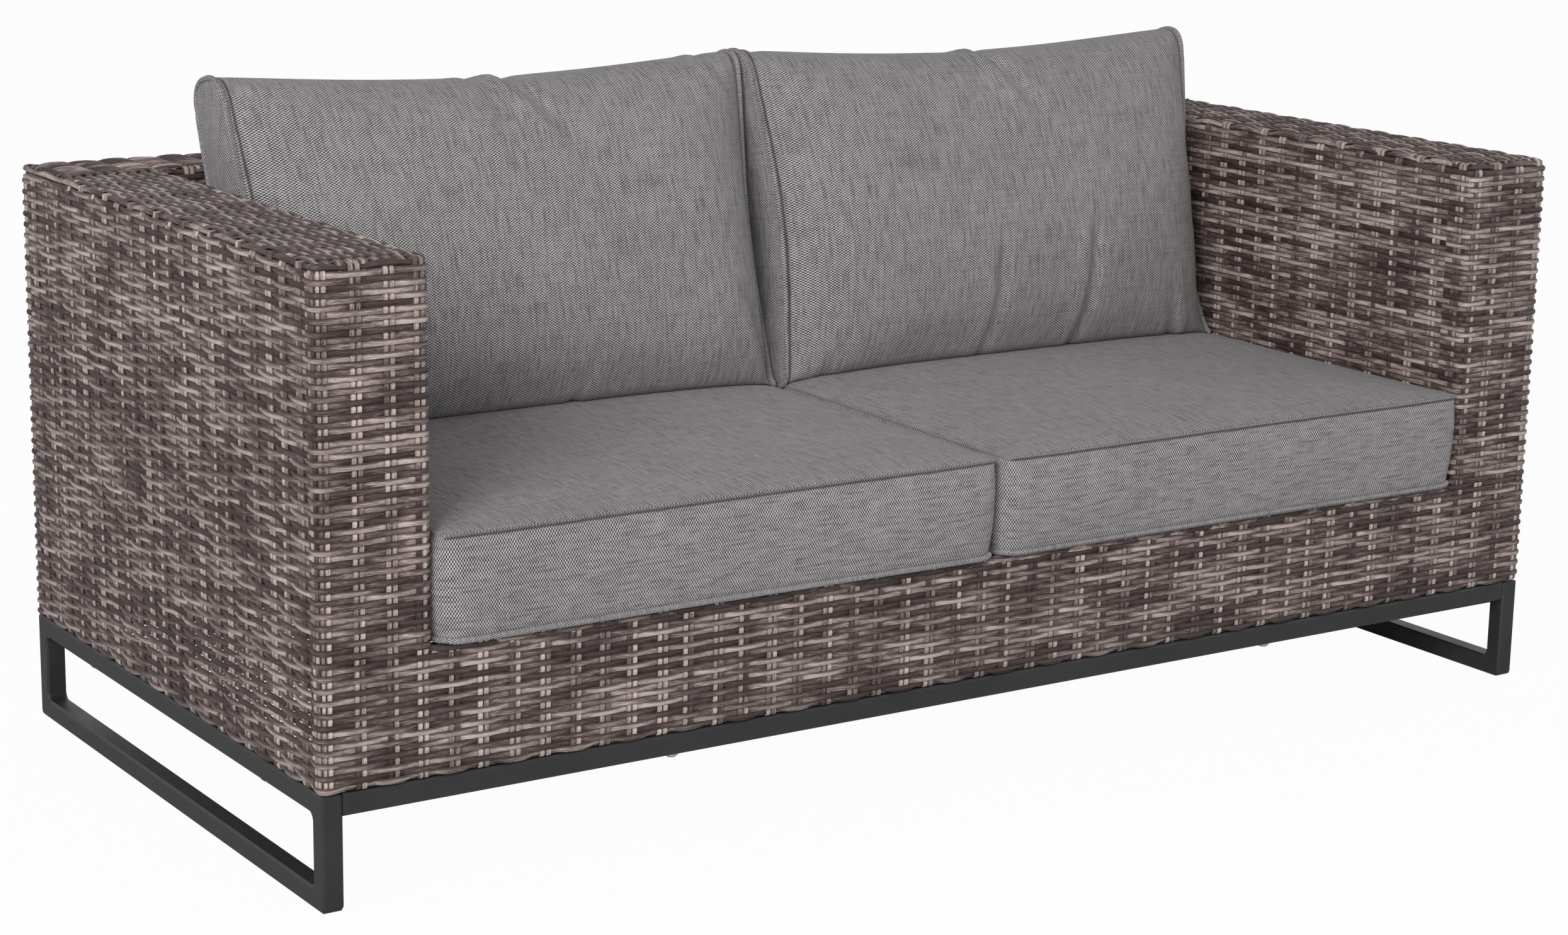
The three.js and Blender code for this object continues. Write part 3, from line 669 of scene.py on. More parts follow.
def cloth_effect():
    """Plain weave of pale and dark yarns in the cloth's own coordinates, with slubs, tone drift
    and the stitched grooves beside its seams, darkened with painted shade."""
    def build(net, given):
        split = net.add("SeparateXYZ", {0: given["Cloth"]}).outputs
        seam = net.add("SeparateXYZ", {0: given["Seam"]}).outputs[0]
        across = net.maths("DIVIDE", split[0], given["Pitch"])
        along = net.maths("DIVIDE", split[1], net.times(given["Pitch"], given["Weft share"]))
        row, column = net.maths("FLOOR", along), net.maths("FLOOR", across)
        checks = net.times(
            net.maths("SINE", net.times(across, math.pi)), net.maths("SINE", net.times(along, math.pi)))
        weft = net.noise(net.combine(
            net.times(across, 0.05), net.times(row, 7.3)), 1.0, 2.0)
        warp = net.noise(net.combine(
            net.times(column, 0.93), net.times(along, 0.045)), 1.0, 3.0)
        yarn = net.plus(
            net.stretch(weft, *NOISE_RANGE, -0.25, 0.25), net.stretch(warp, *NOISE_RANGE, -0.6, 0.6))
        drift = net.stretch(net.noise(given["Place"], 9.0, 3.0, 0.6), *NOISE_RANGE, -0.5, 0.5)
        fleck = net.noise(net.combine(
            net.times(across, 0.85), net.times(along, 0.11)), 1.0, 2.0, 0.6)
        fleck = net.stretch(fleck, *NOISE_RANGE, -0.5, 0.5)
        tone = net.stretch(checks, -0.3, 0.36)
        tone = net.times(tone, net.plus(1.0, net.times(yarn, given["Slub"])))
        tone = net.plus(tone, net.times(drift, 0.08))
        tone = net.plus(tone, net.times(fleck, given["Melange"]))
        tone = net.plus(tone, net.times(yarn, 0.1), clamp=True)
        # Painted shade: along the stitched groove beside a seam the cloth is blended towards the dark yarn,
        # besides being pressed in
        stitched = net.maths("ABSOLUTE", net.minus(seam, given["Stitch"]))
        groove = net.minus(1.0, net.stretch(stitched, 0.0004, 0.0022))
        lap = net.minus(1.0, net.stretch(seam, 0.0, given["Stitch"]))
        shade = net.blend(tone, given["Dark"], given["Pale"])
        shade = net.blend(net.times(groove, 0.8), shade, given["Dark"])
        height = net.plus(net.times(checks, 0.35), net.times(yarn, 0.15))
        height = net.plus(height, net.times(lap, 0.6))
        height = net.minus(height, net.times(groove, 3.0))
        return {"Colour": shade, "Roughness": net.stretch(tone, 0.0, 1.0, 0.95, 0.85), "Height": height}

    inputs = [
        ("Cloth", "Vector", None), ("Seam", "Vector", None), ("Place", "Vector", None),
        ("Pale", "Color", WHITE), ("Dark", "Color", WHITE), ("Pitch", "Float", 0.0025),
        ("Weft share", "Float", 0.64),
        ("Slub", "Float", 0.45), ("Melange", "Float", 0.17), ("Stitch", "Float", 0.008)]
    return effect("plain_weave_cloth", inputs, build)


def woven_finish(name, cloth_source, seam_source, pitch_share=1.0):
    material = bpy.data.materials.get(name)
    if material:
        return material
    tones, sizes = settings("sofa_colours"), settings("sofa_cushions")
    finish = Finish(name, Sheen_Weight=0.08)
    place = finish.net.add("TexCoord").outputs["Object"]
    node = finish.place(
        cloth_effect(), Place=place, Pale=colour(tones.yarn_pale), Dark=colour(tones.yarn_dark),
        Pitch=sizes.yarn * pitch_share, Stitch=sizes.stitch)
    links = finish.material.node_tree.links
    links.new(cloth_source(finish.net), node.inputs["Cloth"])
    if seam_source:
        links.new(seam_source(finish.net), node.inputs["Seam"])
    else:
        node.inputs["Seam"].default_value = (1.0, 0.0, 0.0)
    return finish.feed(node, CLOTH_RELIEF)


def cloth_finish():
    return woven_finish(
        "melange_cloth", lambda net: net.add("UVMap", uv_map="cloth").outputs["UV"],
        lambda net: net.add("UVMap", uv_map="seam").outputs["UV"])


def piping_finish():
    return woven_finish(
        "melange_piping", lambda net: net.add("Attribute", attribute_name="strand").outputs["Vector"],
        None, 0.75)


def crumb_effect():
    """Open cells or matted fibres of a filling."""
    def build(net, given):
        cells = net.add("TexVoronoi", {"Vector": given["Place"], "Scale": given["Scale"]}).outputs["Distance"]
        drift = net.noise(given["Place"], 12.0, 3.0)
        shade = net.blend(net.stretch(cells, 0.1, 0.6), given["Dark"], given["Tone"])
        return {"Colour": shade, "Roughness": net.stretch(drift, *NOISE_RANGE, 0.9, 1.0), "Height": cells}

    inputs = [("Place", "Vector", None), ("Tone", "Color", WHITE), ("Dark", "Color", WHITE),
              ("Scale", "Float", 600.0)]
    return effect("open_cells", inputs, build)


def celled_finish(name, tone, scale, relief):
    material = bpy.data.materials.get(name)
    if material:
        return material
    finish = Finish(name)
    place = finish.net.add("TexCoord").outputs["Object"]
    node = finish.place(
        crumb_effect(), Place=place, Tone=colour(tone), Dark=colour(tone * 0.6), Scale=scale)
    return finish.feed(node, relief)


def filling_finish():
    return celled_finish("cushion_foam", np.array(settings("sofa_colours").filling), 600.0, 0.0006)


def zip_finish():
    return celled_finish("zip_tape", np.array(settings("sofa_colours").zip_tape), 900.0, 0.0003)


def dress(piece, material):
    """Puts one material over the whole of a piece."""
    piece.data.materials.clear()
    piece.data.materials.append(material)


def finish_piece(piece, body, material, slot, *nodes):
    """Dresses a piece, lets it ride on its body and hides the nodes it stands for."""
    dress(piece, material)
    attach(piece, body)
    if nodes:
        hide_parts(*nodes)
    return piece


# The sofa's own places, read from the frame

class Places:
    """Faces of the woven body, from the boxes of its nodes."""

    def __init__(self):
        arm_low, arm_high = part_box("right_arm_top_weave")
        apron_low, apron_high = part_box("front_apron_weave")
        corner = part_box("rear_weave")[1]
        self.half, self.rear = corner.x, corner.y
        self.front, self.bottom, self.deck = apron_low.y, apron_low.z, apron_high.z
        self.arm, self.top = arm_low.x, arm_high.z
        self.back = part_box("back_top_weave")[0].y


# Pairs on the side walls, the fronts of the arms and so on, counted along the woven loops
SIDE_CELLS = 22
REAR_CELLS = 47
ARM_CELLS = 18
BACK_CELLS = 39
APRON_CELLS = 39
APRON_ROWS = 21
ARM_ROWS = 61
ARM_PAIRS = (0.0, 0.045, 0.082, 0.116, 0.152)
# Number of the pair on the right front corner, where the upper loop's outer faces start
SIDE_START = len(ARM_PAIRS) * 2 - 2 + 2 * ARM_CELLS + BACK_CELLS


class Skins:
    """The loop of strands round the body below the deck, and the longer loop round arms and back."""

    def __init__(self):
        self.sizes = sizes = settings("sofa_weave")
        self.places = places = Places()
        inset = sizes.depth
        self.x, self.y0, self.y1 = places.half - inset, places.front + inset, places.rear - inset
        self.inner_x, self.inner_y = places.arm + inset, places.back + inset
        self.straight = places.top - inset - sizes.rim
        self.arc = sizes.rim * math.pi / 2
        x, y0, y1, inner_x, inner_y = self.x, self.y0, self.y1, self.inner_x, self.inner_y
        low = places.bottom + sizes.row / 2
        levels = (sizes.corner, low, self.straight, sizes.hem, sizes.rim, sizes.width)
        self.lower = Wall([(-x, y0), (x, y0), (x, y1), (-x, y1)], *levels)
        self.upper = Wall([
            (-x, y0), (-inner_x, y0), (-inner_x, inner_y), (inner_x, inner_y),
            (inner_x, y0), (x, y0), (x, y1), (-x, y1)], *levels)
        self.count_rows()
        self.set_pairs()

    def count_rows(self):
        """Heights of the rows: below the deck, above it, and the one that runs along the top edges."""
        places = self.places
        lower_pitch = (places.deck - places.bottom) / APRON_ROWS
        self.lower_rows = places.bottom + (np.arange(APRON_ROWS) + 0.5) * lower_pitch
        upper_pitch = (self.straight - places.deck) / ARM_ROWS
        self.upper_rows = places.deck + (np.arange(ARM_ROWS) + 0.5) * upper_pitch
        rim_row = self.straight + self.arc / 2
        self.upper_rows = np.append(self.upper_rows, rim_row)
        self.all_rows = np.concatenate([self.lower_rows, self.upper_rows])
        self.rim_index = APRON_ROWS + ARM_ROWS
        self.rim_step = self.upper_rows[-1] - self.upper_rows[-2]

    def set_pairs(self):
        """Distances of the pairs along both loops, strayed a little from even places."""
        random = np.random.default_rng(5)
        places, sizes = self.places, self.sizes

        def strayed(stretch, keep=1):
            loose = stretch.copy()
            middle = len(loose) - 2 * keep
            loose[keep:keep + middle] += random.uniform(-sizes.pair_stray, sizes.pair_stray, middle)
            return loose

        l, u = self.lower.starts, self.upper.starts
        near = np.array(ARM_PAIRS)
        side, rear = even(0, l[2] - l[1], SIDE_CELLS), even(0, l[1], REAR_CELLS)
        right, back, left = strayed(side), strayed(rear), strayed(side)
        apron = strayed(even(near[-1], l[1] - near[-1], APRON_CELLS))
        self.lower_pairs = np.concatenate([
            near[:-1], apron, l[1] - near[:-1][::-1][:-1],
            l[1] + right[:-1], l[2] + back[:-1], l[3] + left])
        reach = u[2] - u[1]
        arm = places.half - places.arm
        inner = strayed(even(near[-1] - arm, reach, ARM_CELLS))
        between = strayed(even(0, u[3] - u[2], BACK_CELLS))
        self.upper_pairs = np.concatenate([
            near[:-1], u[1] + inner[:-1], u[2] + between[:-1], u[4] - inner[::-1],
            u[5] - near[:-1][::-1][:-1], u[5] + right[:-1], u[6] + back[:-1], u[7] + left])

    def offsets(self, wall, place):
        """Where a station's uprights stand: four round an outer corner, else a pair."""
        outer = (0, 1, 2, 3) if wall is self.lower else (0, 5, 6, 7)
        total = wall.starts[-1]
        gaps = [abs((place - wall.starts[i] + total / 2) % total - total / 2) for i in outer]
        half = self.sizes.pair / 2
        return (-3 * half, -half, half, 3 * half) if min(gaps) < half else (-half, half)

    def stretch(self, wall, first, last):
        """The pairs from one cell number to another, below zero too, with their numbers."""
        pairs = self.lower_pairs if wall is self.lower else self.upper_pairs
        cells = np.arange(first, last + 1)
        count = len(pairs) - 1
        return pairs[cells % count] + (cells // count) * pairs[-1], cells

    def weave(self, seed, wall, first, last, rows, row_index, low, high, tucks=(None, None)):
        """Weaves a wall from the middle of the cell before a pair to the middle of the one after another."""
        strands = Strands(seed)
        places, cells = self.stretch(wall, first - 1, last + 1)
        start, end = (places[0] + places[1]) / 2, (places[-2] + places[-1]) / 2
        total, reach = wall.starts[-1], self.sizes.corner
        turns = [(corner + lap, reach) for corner in wall.starts[:-1] for lap in (-total, 0, total)]
        turns = [turn for turn in turns if start < turn[0] < end]
        weave_levels(strands, wall, rows, row_index, places, cells, start, end, turns)
        pairs = [
            (place, cell, self.offsets(wall, place)) for place, cell in zip(places[1:-1], cells[1:-1])]
        weave_uprights(strands, wall, pairs, rows, row_index, low, high, tucks)
        return strands

    def in_pairs(self, places, cells):
        """Uprights that stand two by two."""
        half = self.sizes.pair / 2
        return [(place, cell, (-half, half)) for place, cell in zip(places, cells)]


def finish_skin(strands, name, node):
    finish_piece(strands.piece(name), BODY, rattan_finish(), "rattan", node)


class SOFA_OT_outer_skins(bpy.types.Operator):
    """Weave the front apron, both sides and the rear"""
    bl_idname = "sofa.outer_skins"
    bl_label = "Outer skins"

    def execute(self, context):
        skins = Skins()
        low = skins.places.bottom - skins.sizes.hem
        rows, count = skins.lower_rows, APRON_ROWS
        strands = skins.weave(
            11, skins.lower, 0, REAR_CELLS, rows, np.arange(count), low, rows[-1] + END_STEP)
        finish_skin(strands, "woven_apron", "front_apron_weave")
        rear = SIDE_START + SIDE_CELLS
        middle = rear + REAR_CELLS // 2
        left = rear + REAR_CELLS
        rows, index = skins.all_rows, np.arange(skins.rim_index + 1)
        for name, seed, first, last, node in (
            ("woven_right_side", 12, SIDE_START + 1, rear - 1, "right_side_weave"),
            ("woven_rear_right", 13, rear, middle, "rear_weave"),
            ("woven_rear_left", 14, middle + 1, left, "rear_weave"),
            ("woven_left_side", 15, left + 1, left + SIDE_CELLS - 1, "left_side_weave"),
        ):
            strands = skins.weave(seed, skins.upper, first, last, rows, index, low, rows[-2])
            finish_skin(strands, name, node)
        return {"FINISHED"}


class SOFA_OT_arm_skins(bpy.types.Operator):
    """Weave the fronts and the inner faces of both arms, and the back's inner face"""
    bl_idname = "sofa.arm_skins"
    bl_label = "Arm and back skins"

    def execute(self, context):
        skins = Skins()
        rows = skins.upper_rows
        index = APRON_ROWS + np.arange(len(rows))
        low, high = skins.places.deck, skins.straight + skins.arc + skins.sizes.tuck_reach
        arm = len(ARM_PAIRS) - 1
        back = arm + ARM_CELLS
        right = back + BACK_CELLS
        front = right + ARM_CELLS
        for name, seed, first, last, node in (
            ("woven_left_arm_front", 21, 0, arm, "left_arm_front_weave"),
            ("woven_left_arm_inside", 22, arm + 1, back - 1, "left_arm_inner_weave"),
            ("woven_back_inside", 23, back, right, "back_inner_weave"),
            ("woven_right_arm_inside", 24, right + 1, front - 1, "right_arm_inner_weave"),
            ("woven_right_arm_front", 25, front, front + arm, "right_arm_front_weave"),
        ):
            strands = skins.weave(
                seed, skins.upper, first, last, rows, index, low, high, (None, high))
            finish_skin(strands, name, node)
        return {"FINISHED"}


class SOFA_OT_top_skins(bpy.types.Operator):
    """Weave the tops of the arms and of the back"""
    bl_idname = "sofa.top_skins"
    bl_label = "Top skins"

    def execute(self, context):
        skins = Skins()
        weave_arm_top(skins, "right", 31)
        weave_arm_top(skins, "left", 32)
        weave_back_top(skins)
        return {"FINISHED"}


def top_rows(low, high, pitch):
    count = max(round((high - low) / pitch), 1)
    return low + (np.arange(count) + 0.5) * (high - low) / count


def weave_arm_top(skins, side, seed):
    """Strands along the arm, and the side's uprights carried over and tucked in at the inner edge."""
    sign, sizes = SIDES[side], skins.sizes
    half_across = (skins.x - skins.inner_x) / 2 - sizes.rim
    front, back = skins.y0 + sizes.rim, skins.inner_y
    middle = (front + back) / 2
    origin = (sign * (skins.x + skins.inner_x) / 2, middle, skins.straight + sizes.rim)
    tray = Tray(origin, (0, 1, 0), (-1, 0, 0), (back - front) / 2, half_across, sizes.rim, sizes.width)
    places, cells = side_pairs(skins, side)
    places = places - middle
    rows = top_rows(-half_across, half_across, sizes.row)
    # Counted from the outer edge, which is at negative places across on the right
    order = np.arange(len(rows)) if sign > 0 else np.arange(len(rows))[::-1]
    index = skins.rim_index + 1 + order
    strands = Strands(seed)
    start = -tray.half_along - skins.arc - sizes.rim
    end = tray.half_along + sizes.rim
    weave_levels(
        strands, tray, rows, index, places, cells, start, end,
        [(-tray.half_along - skins.arc / 2, skins.arc / 2)], (start + skins.arc, end))
    outer = half_across + skins.arc / 2
    inner = half_across + skins.arc
    if sign > 0:
        crossing = np.concatenate([[-outer - skins.rim_step, -outer], rows])
        crossing_index = np.concatenate([[-2, -1], order])
        low, high, tucks = crossing[0], inner, (None, inner)
    else:
        crossing = np.concatenate([rows, [outer, outer + skins.rim_step]])
        crossing_index = np.concatenate([order, [-1, -2]])
        low, high, tucks = -inner, crossing[-1], (-inner, None)
    inside = np.abs(places) < tray.half_along
    weave_uprights(
        strands, tray, skins.in_pairs(places[inside], cells[inside]), crossing,
        skins.rim_index + 1 + crossing_index, low, high, tucks)
    finish_skin(strands, f"woven_{side}_arm_top", f"{side}_arm_top_weave")


def side_pairs(skins, side):
    """A side's pairs from front to rear, with their numbers round the upper loop."""
    first, u = SIDE_START, skins.upper.starts
    if side == "right":
        places, cells = skins.stretch(skins.upper, first, first + SIDE_CELLS)
        return skins.y0 + places - u[5], cells
    first += SIDE_CELLS + REAR_CELLS
    places, cells = skins.stretch(skins.upper, first, first + SIDE_CELLS)
    return (skins.y1 - (places - u[7]))[::-1], cells[::-1]


def weave_back_top(skins):
    """Strands along the back's top over both arms' ends, and the rear's uprights carried forward."""
    sizes = skins.sizes
    low, high = skins.inner_y + sizes.rim, skins.y1 - sizes.rim
    middle = (low + high) / 2
    half_across = (high - low) / 2
    half_along = skins.x - sizes.rim
    origin = (0, middle, skins.straight + sizes.rim)
    tray = Tray(origin, (1, 0, 0), (0, 1, 0), half_along, half_across, sizes.rim, sizes.width)
    first = SIDE_START + SIDE_CELLS
    places, cells = skins.stretch(skins.upper, first, first + REAR_CELLS)
    places, cells = (skins.x - (places - skins.upper.starts[6]))[::-1], cells[::-1]
    rows = top_rows(-half_across, half_across, sizes.row)
    order = np.arange(len(rows))[::-1]
    index = skins.rim_index + 1 + order
    strands = Strands(33)
    start, end = -half_along - skins.arc - sizes.rim, half_along + skins.arc + sizes.rim
    turns = [(sign * (half_along + skins.arc / 2), skins.arc / 2) for sign in (-1, 1)]
    tucks = (start + skins.arc, end - skins.arc)
    weave_levels(strands, tray, rows, index, places, cells, start, end, turns, tucks)
    # The border row over each arm's end, in line with the row along the back's inner edge
    border = -half_across - skins.arc / 2
    flat = Tray(
        origin, (1, 0, 0), (0, 1, 0), half_along, half_across + sizes.rim * 2, sizes.rim, sizes.width)
    for sign in (-1, 1):
        ends = sorted([sign * skins.inner_x, sign * (half_along + skins.arc)])
        weave_levels(
            strands, flat, [border], [skins.rim_index + 1 + len(rows)], places, cells, *ends, [], ends)
    outer = half_across + skins.arc / 2
    crossing = np.concatenate([rows, [outer, outer + skins.rim_step]])
    crossing_index = skins.rim_index + 1 + np.concatenate([order, [-1, -2]])
    inner = -half_across - skins.arc
    weave_uprights(
        strands, tray, skins.in_pairs(places[1:-1], cells[1:-1]), crossing, crossing_index,
        inner, crossing[-1], (inner, None))
    finish_skin(strands, "woven_back_top", "back_top_weave")


class SOFA_OT_seat_deck(bpy.types.Operator):
    """Weave the deck under the seat cushions from wider strands"""
    bl_idname = "sofa.seat_deck"
    bl_label = "Seat deck"

    def execute(self, context):
        skins = Skins()
        sizes = skins.sizes
        edge = sizes.rim / 2
        front, rear = skins.y0 + edge, skins.inner_y
        middle, half_across = (front + rear) / 2, (rear - front) / 2
        origin = (0, middle, skins.places.deck - sizes.depth)
        half_along = skins.inner_x + sizes.depth
        tray = Tray(
            origin, (1, 0, 0), (0, 1, 0), half_along, half_across, edge, sizes.width * 2)
        border = Tray(origin, (1, 0, 0), (0, 1, 0), half_along, half_across, edge, sizes.width)
        places, cells = skins.stretch(skins.lower, 3, REAR_CELLS - 3)
        places = places - skins.x
        rows = top_rows(-half_across, half_across, sizes.row * 2)
        index = APRON_ROWS + 1 + np.arange(len(rows))
        strands = Strands(41)
        ends = (-half_along, half_along)
        weave_levels(strands, tray, rows, index, places, cells, *ends, [], ends)
        over = -half_across - edge * math.pi / 4
        weave_levels(strands, border, [over], [APRON_ROWS], places, cells, *ends, [], ends)
        inside = np.abs(places) < half_along
        crossing = np.concatenate([[over], rows])
        crossing_index = np.concatenate([[APRON_ROWS], index])
        weave_uprights(
            strands, tray, skins.in_pairs(places[inside], cells[inside]), crossing, crossing_index,
            over - edge, half_across, (None, half_across))
        finish_skin(strands, "woven_seat_deck", "seat_deck_weave")
        return {"FINISHED"}


# Cushions

def vertices_of(piece):
    places = np.empty(len(piece.data.vertices) * 3)
    piece.data.vertices.foreach_get("co", places)
    return places.reshape(-1, 3)


def place_vertices(piece, places):
    piece.data.vertices.foreach_set("co", np.ascontiguousarray(places).ravel())
    piece.data.update()


# Distance given to cloth that lies far from a stitched seam
FAR = 1.0


class Sewing:
    """A cover sewn from panels: points, faces, and for each face corner its place in the cloth
    and its distance from a stitched seam."""

    def __init__(self):
        self.points, self.faces, self.cloth, self.seam = [], [], [], []
        self.count = 0

    def add(self, places):
        """Adds points and gives their numbers, in the same arrangement."""
        shape = places.shape[:-1]
        index = self.count + np.arange(math.prod(shape)).reshape(shape)
        self.points.append(places.reshape(-1, 3))
        self.count += index.size
        return index

    def panel(self, index, cloth, seam, flip=False):
        """Adds the faces of a grid of point numbers."""
        order = [(0, 0), (0, 1), (1, 1), (1, 0)]
        if flip:
            order = order[::-1]
        height, width = index.shape

        def corners(grid):
            picked = [grid[i:height - 1 + i, j:width - 1 + j] for i, j in order]
            return np.stack(picked, 2).reshape(-1, 4, *grid.shape[2:])

        self.faces.append(corners(index))
        self.cloth.append(corners(cloth))
        self.seam.append(corners(seam))

    def piece(self, name, mirror=False):
        places, faces, seam = (np.concatenate(part) for part in (self.points, self.faces, self.seam))
        layers = {
            "cloth": np.concatenate(self.cloth), "seam": np.stack([seam, np.full_like(seam, FAR)], -1)}
        if mirror:
            places = places * (-1, 1, 1)
            faces = faces[:, ::-1]
            layers = {key: layer[:, ::-1] for key, layer in layers.items()}
        piece = new_mesh(name, places.tolist(), faces.tolist())
        for key, layer in layers.items():
            uv = piece.data.uv_layers.new(name=key)
            uv.data.foreach_set("uv", np.ascontiguousarray(layer).ravel())
        piece.data.polygons.foreach_set("use_smooth", np.ones(len(faces), bool))
        return piece


def coons(south, north, west, east):
    """A grid of places between four sides that meet at their ends."""
    v = np.linspace(0, 1, len(west))[:, None, None]
    u = np.linspace(0, 1, len(south))[None, :, None]
    ruled = (1 - v) * south + v * north + (1 - u) * west[:, None] + u * east[:, None]
    corners = (1 - v) * ((1 - u) * south[0] + u * south[-1]) + v * ((1 - u) * north[0] + u * north[-1])
    return ruled - corners


def resample(path, cells):
    """Even places along a path."""
    steps = np.concatenate([[0], np.cumsum(np.linalg.norm(np.diff(path, axis=0), axis=1))])
    places = np.linspace(0, steps[-1], cells + 1)
    return np.stack([np.interp(places, steps, path[:, k]) for k in range(path.shape[1])], -1)


def plan_sides(half, corner, draw_in, cells):
    """The four sides of a cushion's plan, each from the middle of one round corner to the next."""
    turns = [((0, -1), (1, 0)), ((1, 0), (0, 1)), ((0, 1), (-1, 0)), ((-1, 0), (0, -1))]
    quarter = np.linspace(0, math.pi / 4, 8)[:, None]
    sides = []
    for k, (out, on) in enumerate(turns):
        out, on = np.array(out, float), np.array(on, float)
        centre = (half - corner) * (out - on), (half - corner) * (out + on)
        before = centre[0] + corner * (out * np.cos(quarter[::-1]) - on * np.sin(quarter[::-1]))
        after = centre[1] + corner * (out * np.cos(quarter) + on * np.sin(quarter))
        share = np.linspace(0, 1, 40)[1:-1, None]
        between = before[-1] + (after[0] - before[-1]) * share
        between = between - out * draw_in * np.sin(math.pi * share)
        sides.append(resample(np.concatenate([before, between, after]), cells[k % 2]))
    return sides


def loop_of(sides):
    return np.concatenate([side[:-1] for side in sides])


def grid_of(loop, cells):
    """Point numbers of the four sides of a loop, for a grid's south, north, west and east."""
    a, b = cells
    closed = np.append(loop, loop[0])
    return (closed[:a + 1], closed[a + b:2 * a + b + 1][::-1], closed[2 * a + b:][::-1],
            closed[a:a + b + 1])


# Power that rounds the way from the middle of a seat cushion's panel to its edge, and where the
# bottom panel starts to turn up to its piping
PANEL_POWER = 5
BOTTOM_TURN = 0.9


def seat_cover(box, inset, cell):
    """The panels of the right seat cushion: top, border and bottom. Gives its seams too."""
    sizes = settings("sofa_cushions")
    low, high = np.array(box[0]) - (0, sizes.overhang, 0), np.array(box[1])
    middle, half = (low + high)[:2] / 2, (high - low)[:2] / 2 - inset
    foot, seam = low[2] + sizes.piping + inset, low[2] + sizes.seam_height - inset / 2
    cells = [max(round(2 * side / cell), 4) for side in half]
    rows = max(round((seam - foot) / cell), 3)
    sewing = Sewing()

    def loop_at(share):
        out = sizes.bulge * (1 - math.sin(math.pi * share))
        corner = sizes.foot_corner + (sizes.corner - sizes.foot_corner) * share
        sides = plan_sides(half - out, corner - out, sizes.draw_in, cells)
        height = foot + share * (seam - foot)
        lifted_sides = []
        for side in sides:
            run = np.arange(len(side)) * cell
            lift = sizes.corner_lift * np.exp(-(np.minimum(run, run[::-1]) / sizes.lift_reach) ** 2)
            lifted_sides.append(np.column_stack([side + middle, height + share ** 3 * lift]))
        return lifted_sides

    loops = [loop_at(share) for share in np.linspace(0, 1, rows + 1)]
    index = sewing.add(np.stack([loop_of(sides) for sides in loops]))
    closed = np.column_stack([index, index[:, :1]])
    around = np.linalg.norm(np.diff(loop_of(loops[0]), axis=0, append=loop_of(loops[0])[:1]), axis=1)
    around = np.concatenate([[0], np.cumsum(around)])
    height = np.linspace(0, seam - foot, rows + 1)
    cloth = np.stack(np.meshgrid(around, height), -1)
    # The welt stands over the line that its seam draws on the front of the border, a groove darkened with
    # painted shade
    edge = loop_of(loops[-1])[:, 1]
    edge, front = np.append(edge, edge[0]), middle[1] - half[1]
    below = seam - foot - cloth[..., 1] + sizes.stitch - 2 * sizes.welt
    below += FAR * ease(edge, front + sizes.corner, front + 3 * sizes.corner)
    sewing.panel(closed, cloth[..., ::-1], below)
    for row, facing in ((rows, 1), (0, -1)):
        sides = loops[row]
        plan = coons(sides[0], sides[2][::-1], sides[3][::-1], sides[1])
        across = np.linspace(-1, 1, cells[0] + 1)[None, :]
        deep = np.linspace(-1, 1, cells[1] + 1)[:, None]
        near = (np.abs(across) ** PANEL_POWER + np.abs(deep) ** PANEL_POWER) ** (1 / PANEL_POWER)
        near = np.minimum(near, 1)
        if facing > 0:
            plan[..., 2] += (sizes.crown - inset / 2) * (1 - near ** sizes.crown_power)
        else:
            plan[..., 2] -= sizes.piping * (1 - ease(near, BOTTOM_TURN, 1.0))
        grid = np.empty(plan.shape[:2], int)
        grid[1:-1, 1:-1] = sewing.add(plan[1:-1, 1:-1])
        grid[0], grid[-1], grid[:, 0], grid[:, -1] = grid_of(index[row], cells)
        flat = plan[..., :2] - middle
        sewing.panel(grid, flat, np.full(grid.shape, FAR), flip=facing < 0)
    return sewing, {"welt": index[-1], "piping": index[0]}, grid.ravel()


# Cells round half of a back cushion's arch. Shares of the height at which the swell and the recess
# are fullest, as powers, with how blunt each is. Where across the front the recess starts. Powers
# of the side panels' swell from front to rear and from foot to top
ARCH_CELLS = 5
SWELL_POWERS = (0.75, 0.6)
RECESS_POWERS = (0.65, 0.5)
RECESS_START = 0.88
SIDE_POWERS = (2.2, 4)


def belly(share, lean, blunt):
    """Rises from 0 at the foot and falls back to 0 at the top."""
    return np.maximum(np.sin(math.pi * share ** lean), 0) ** blunt


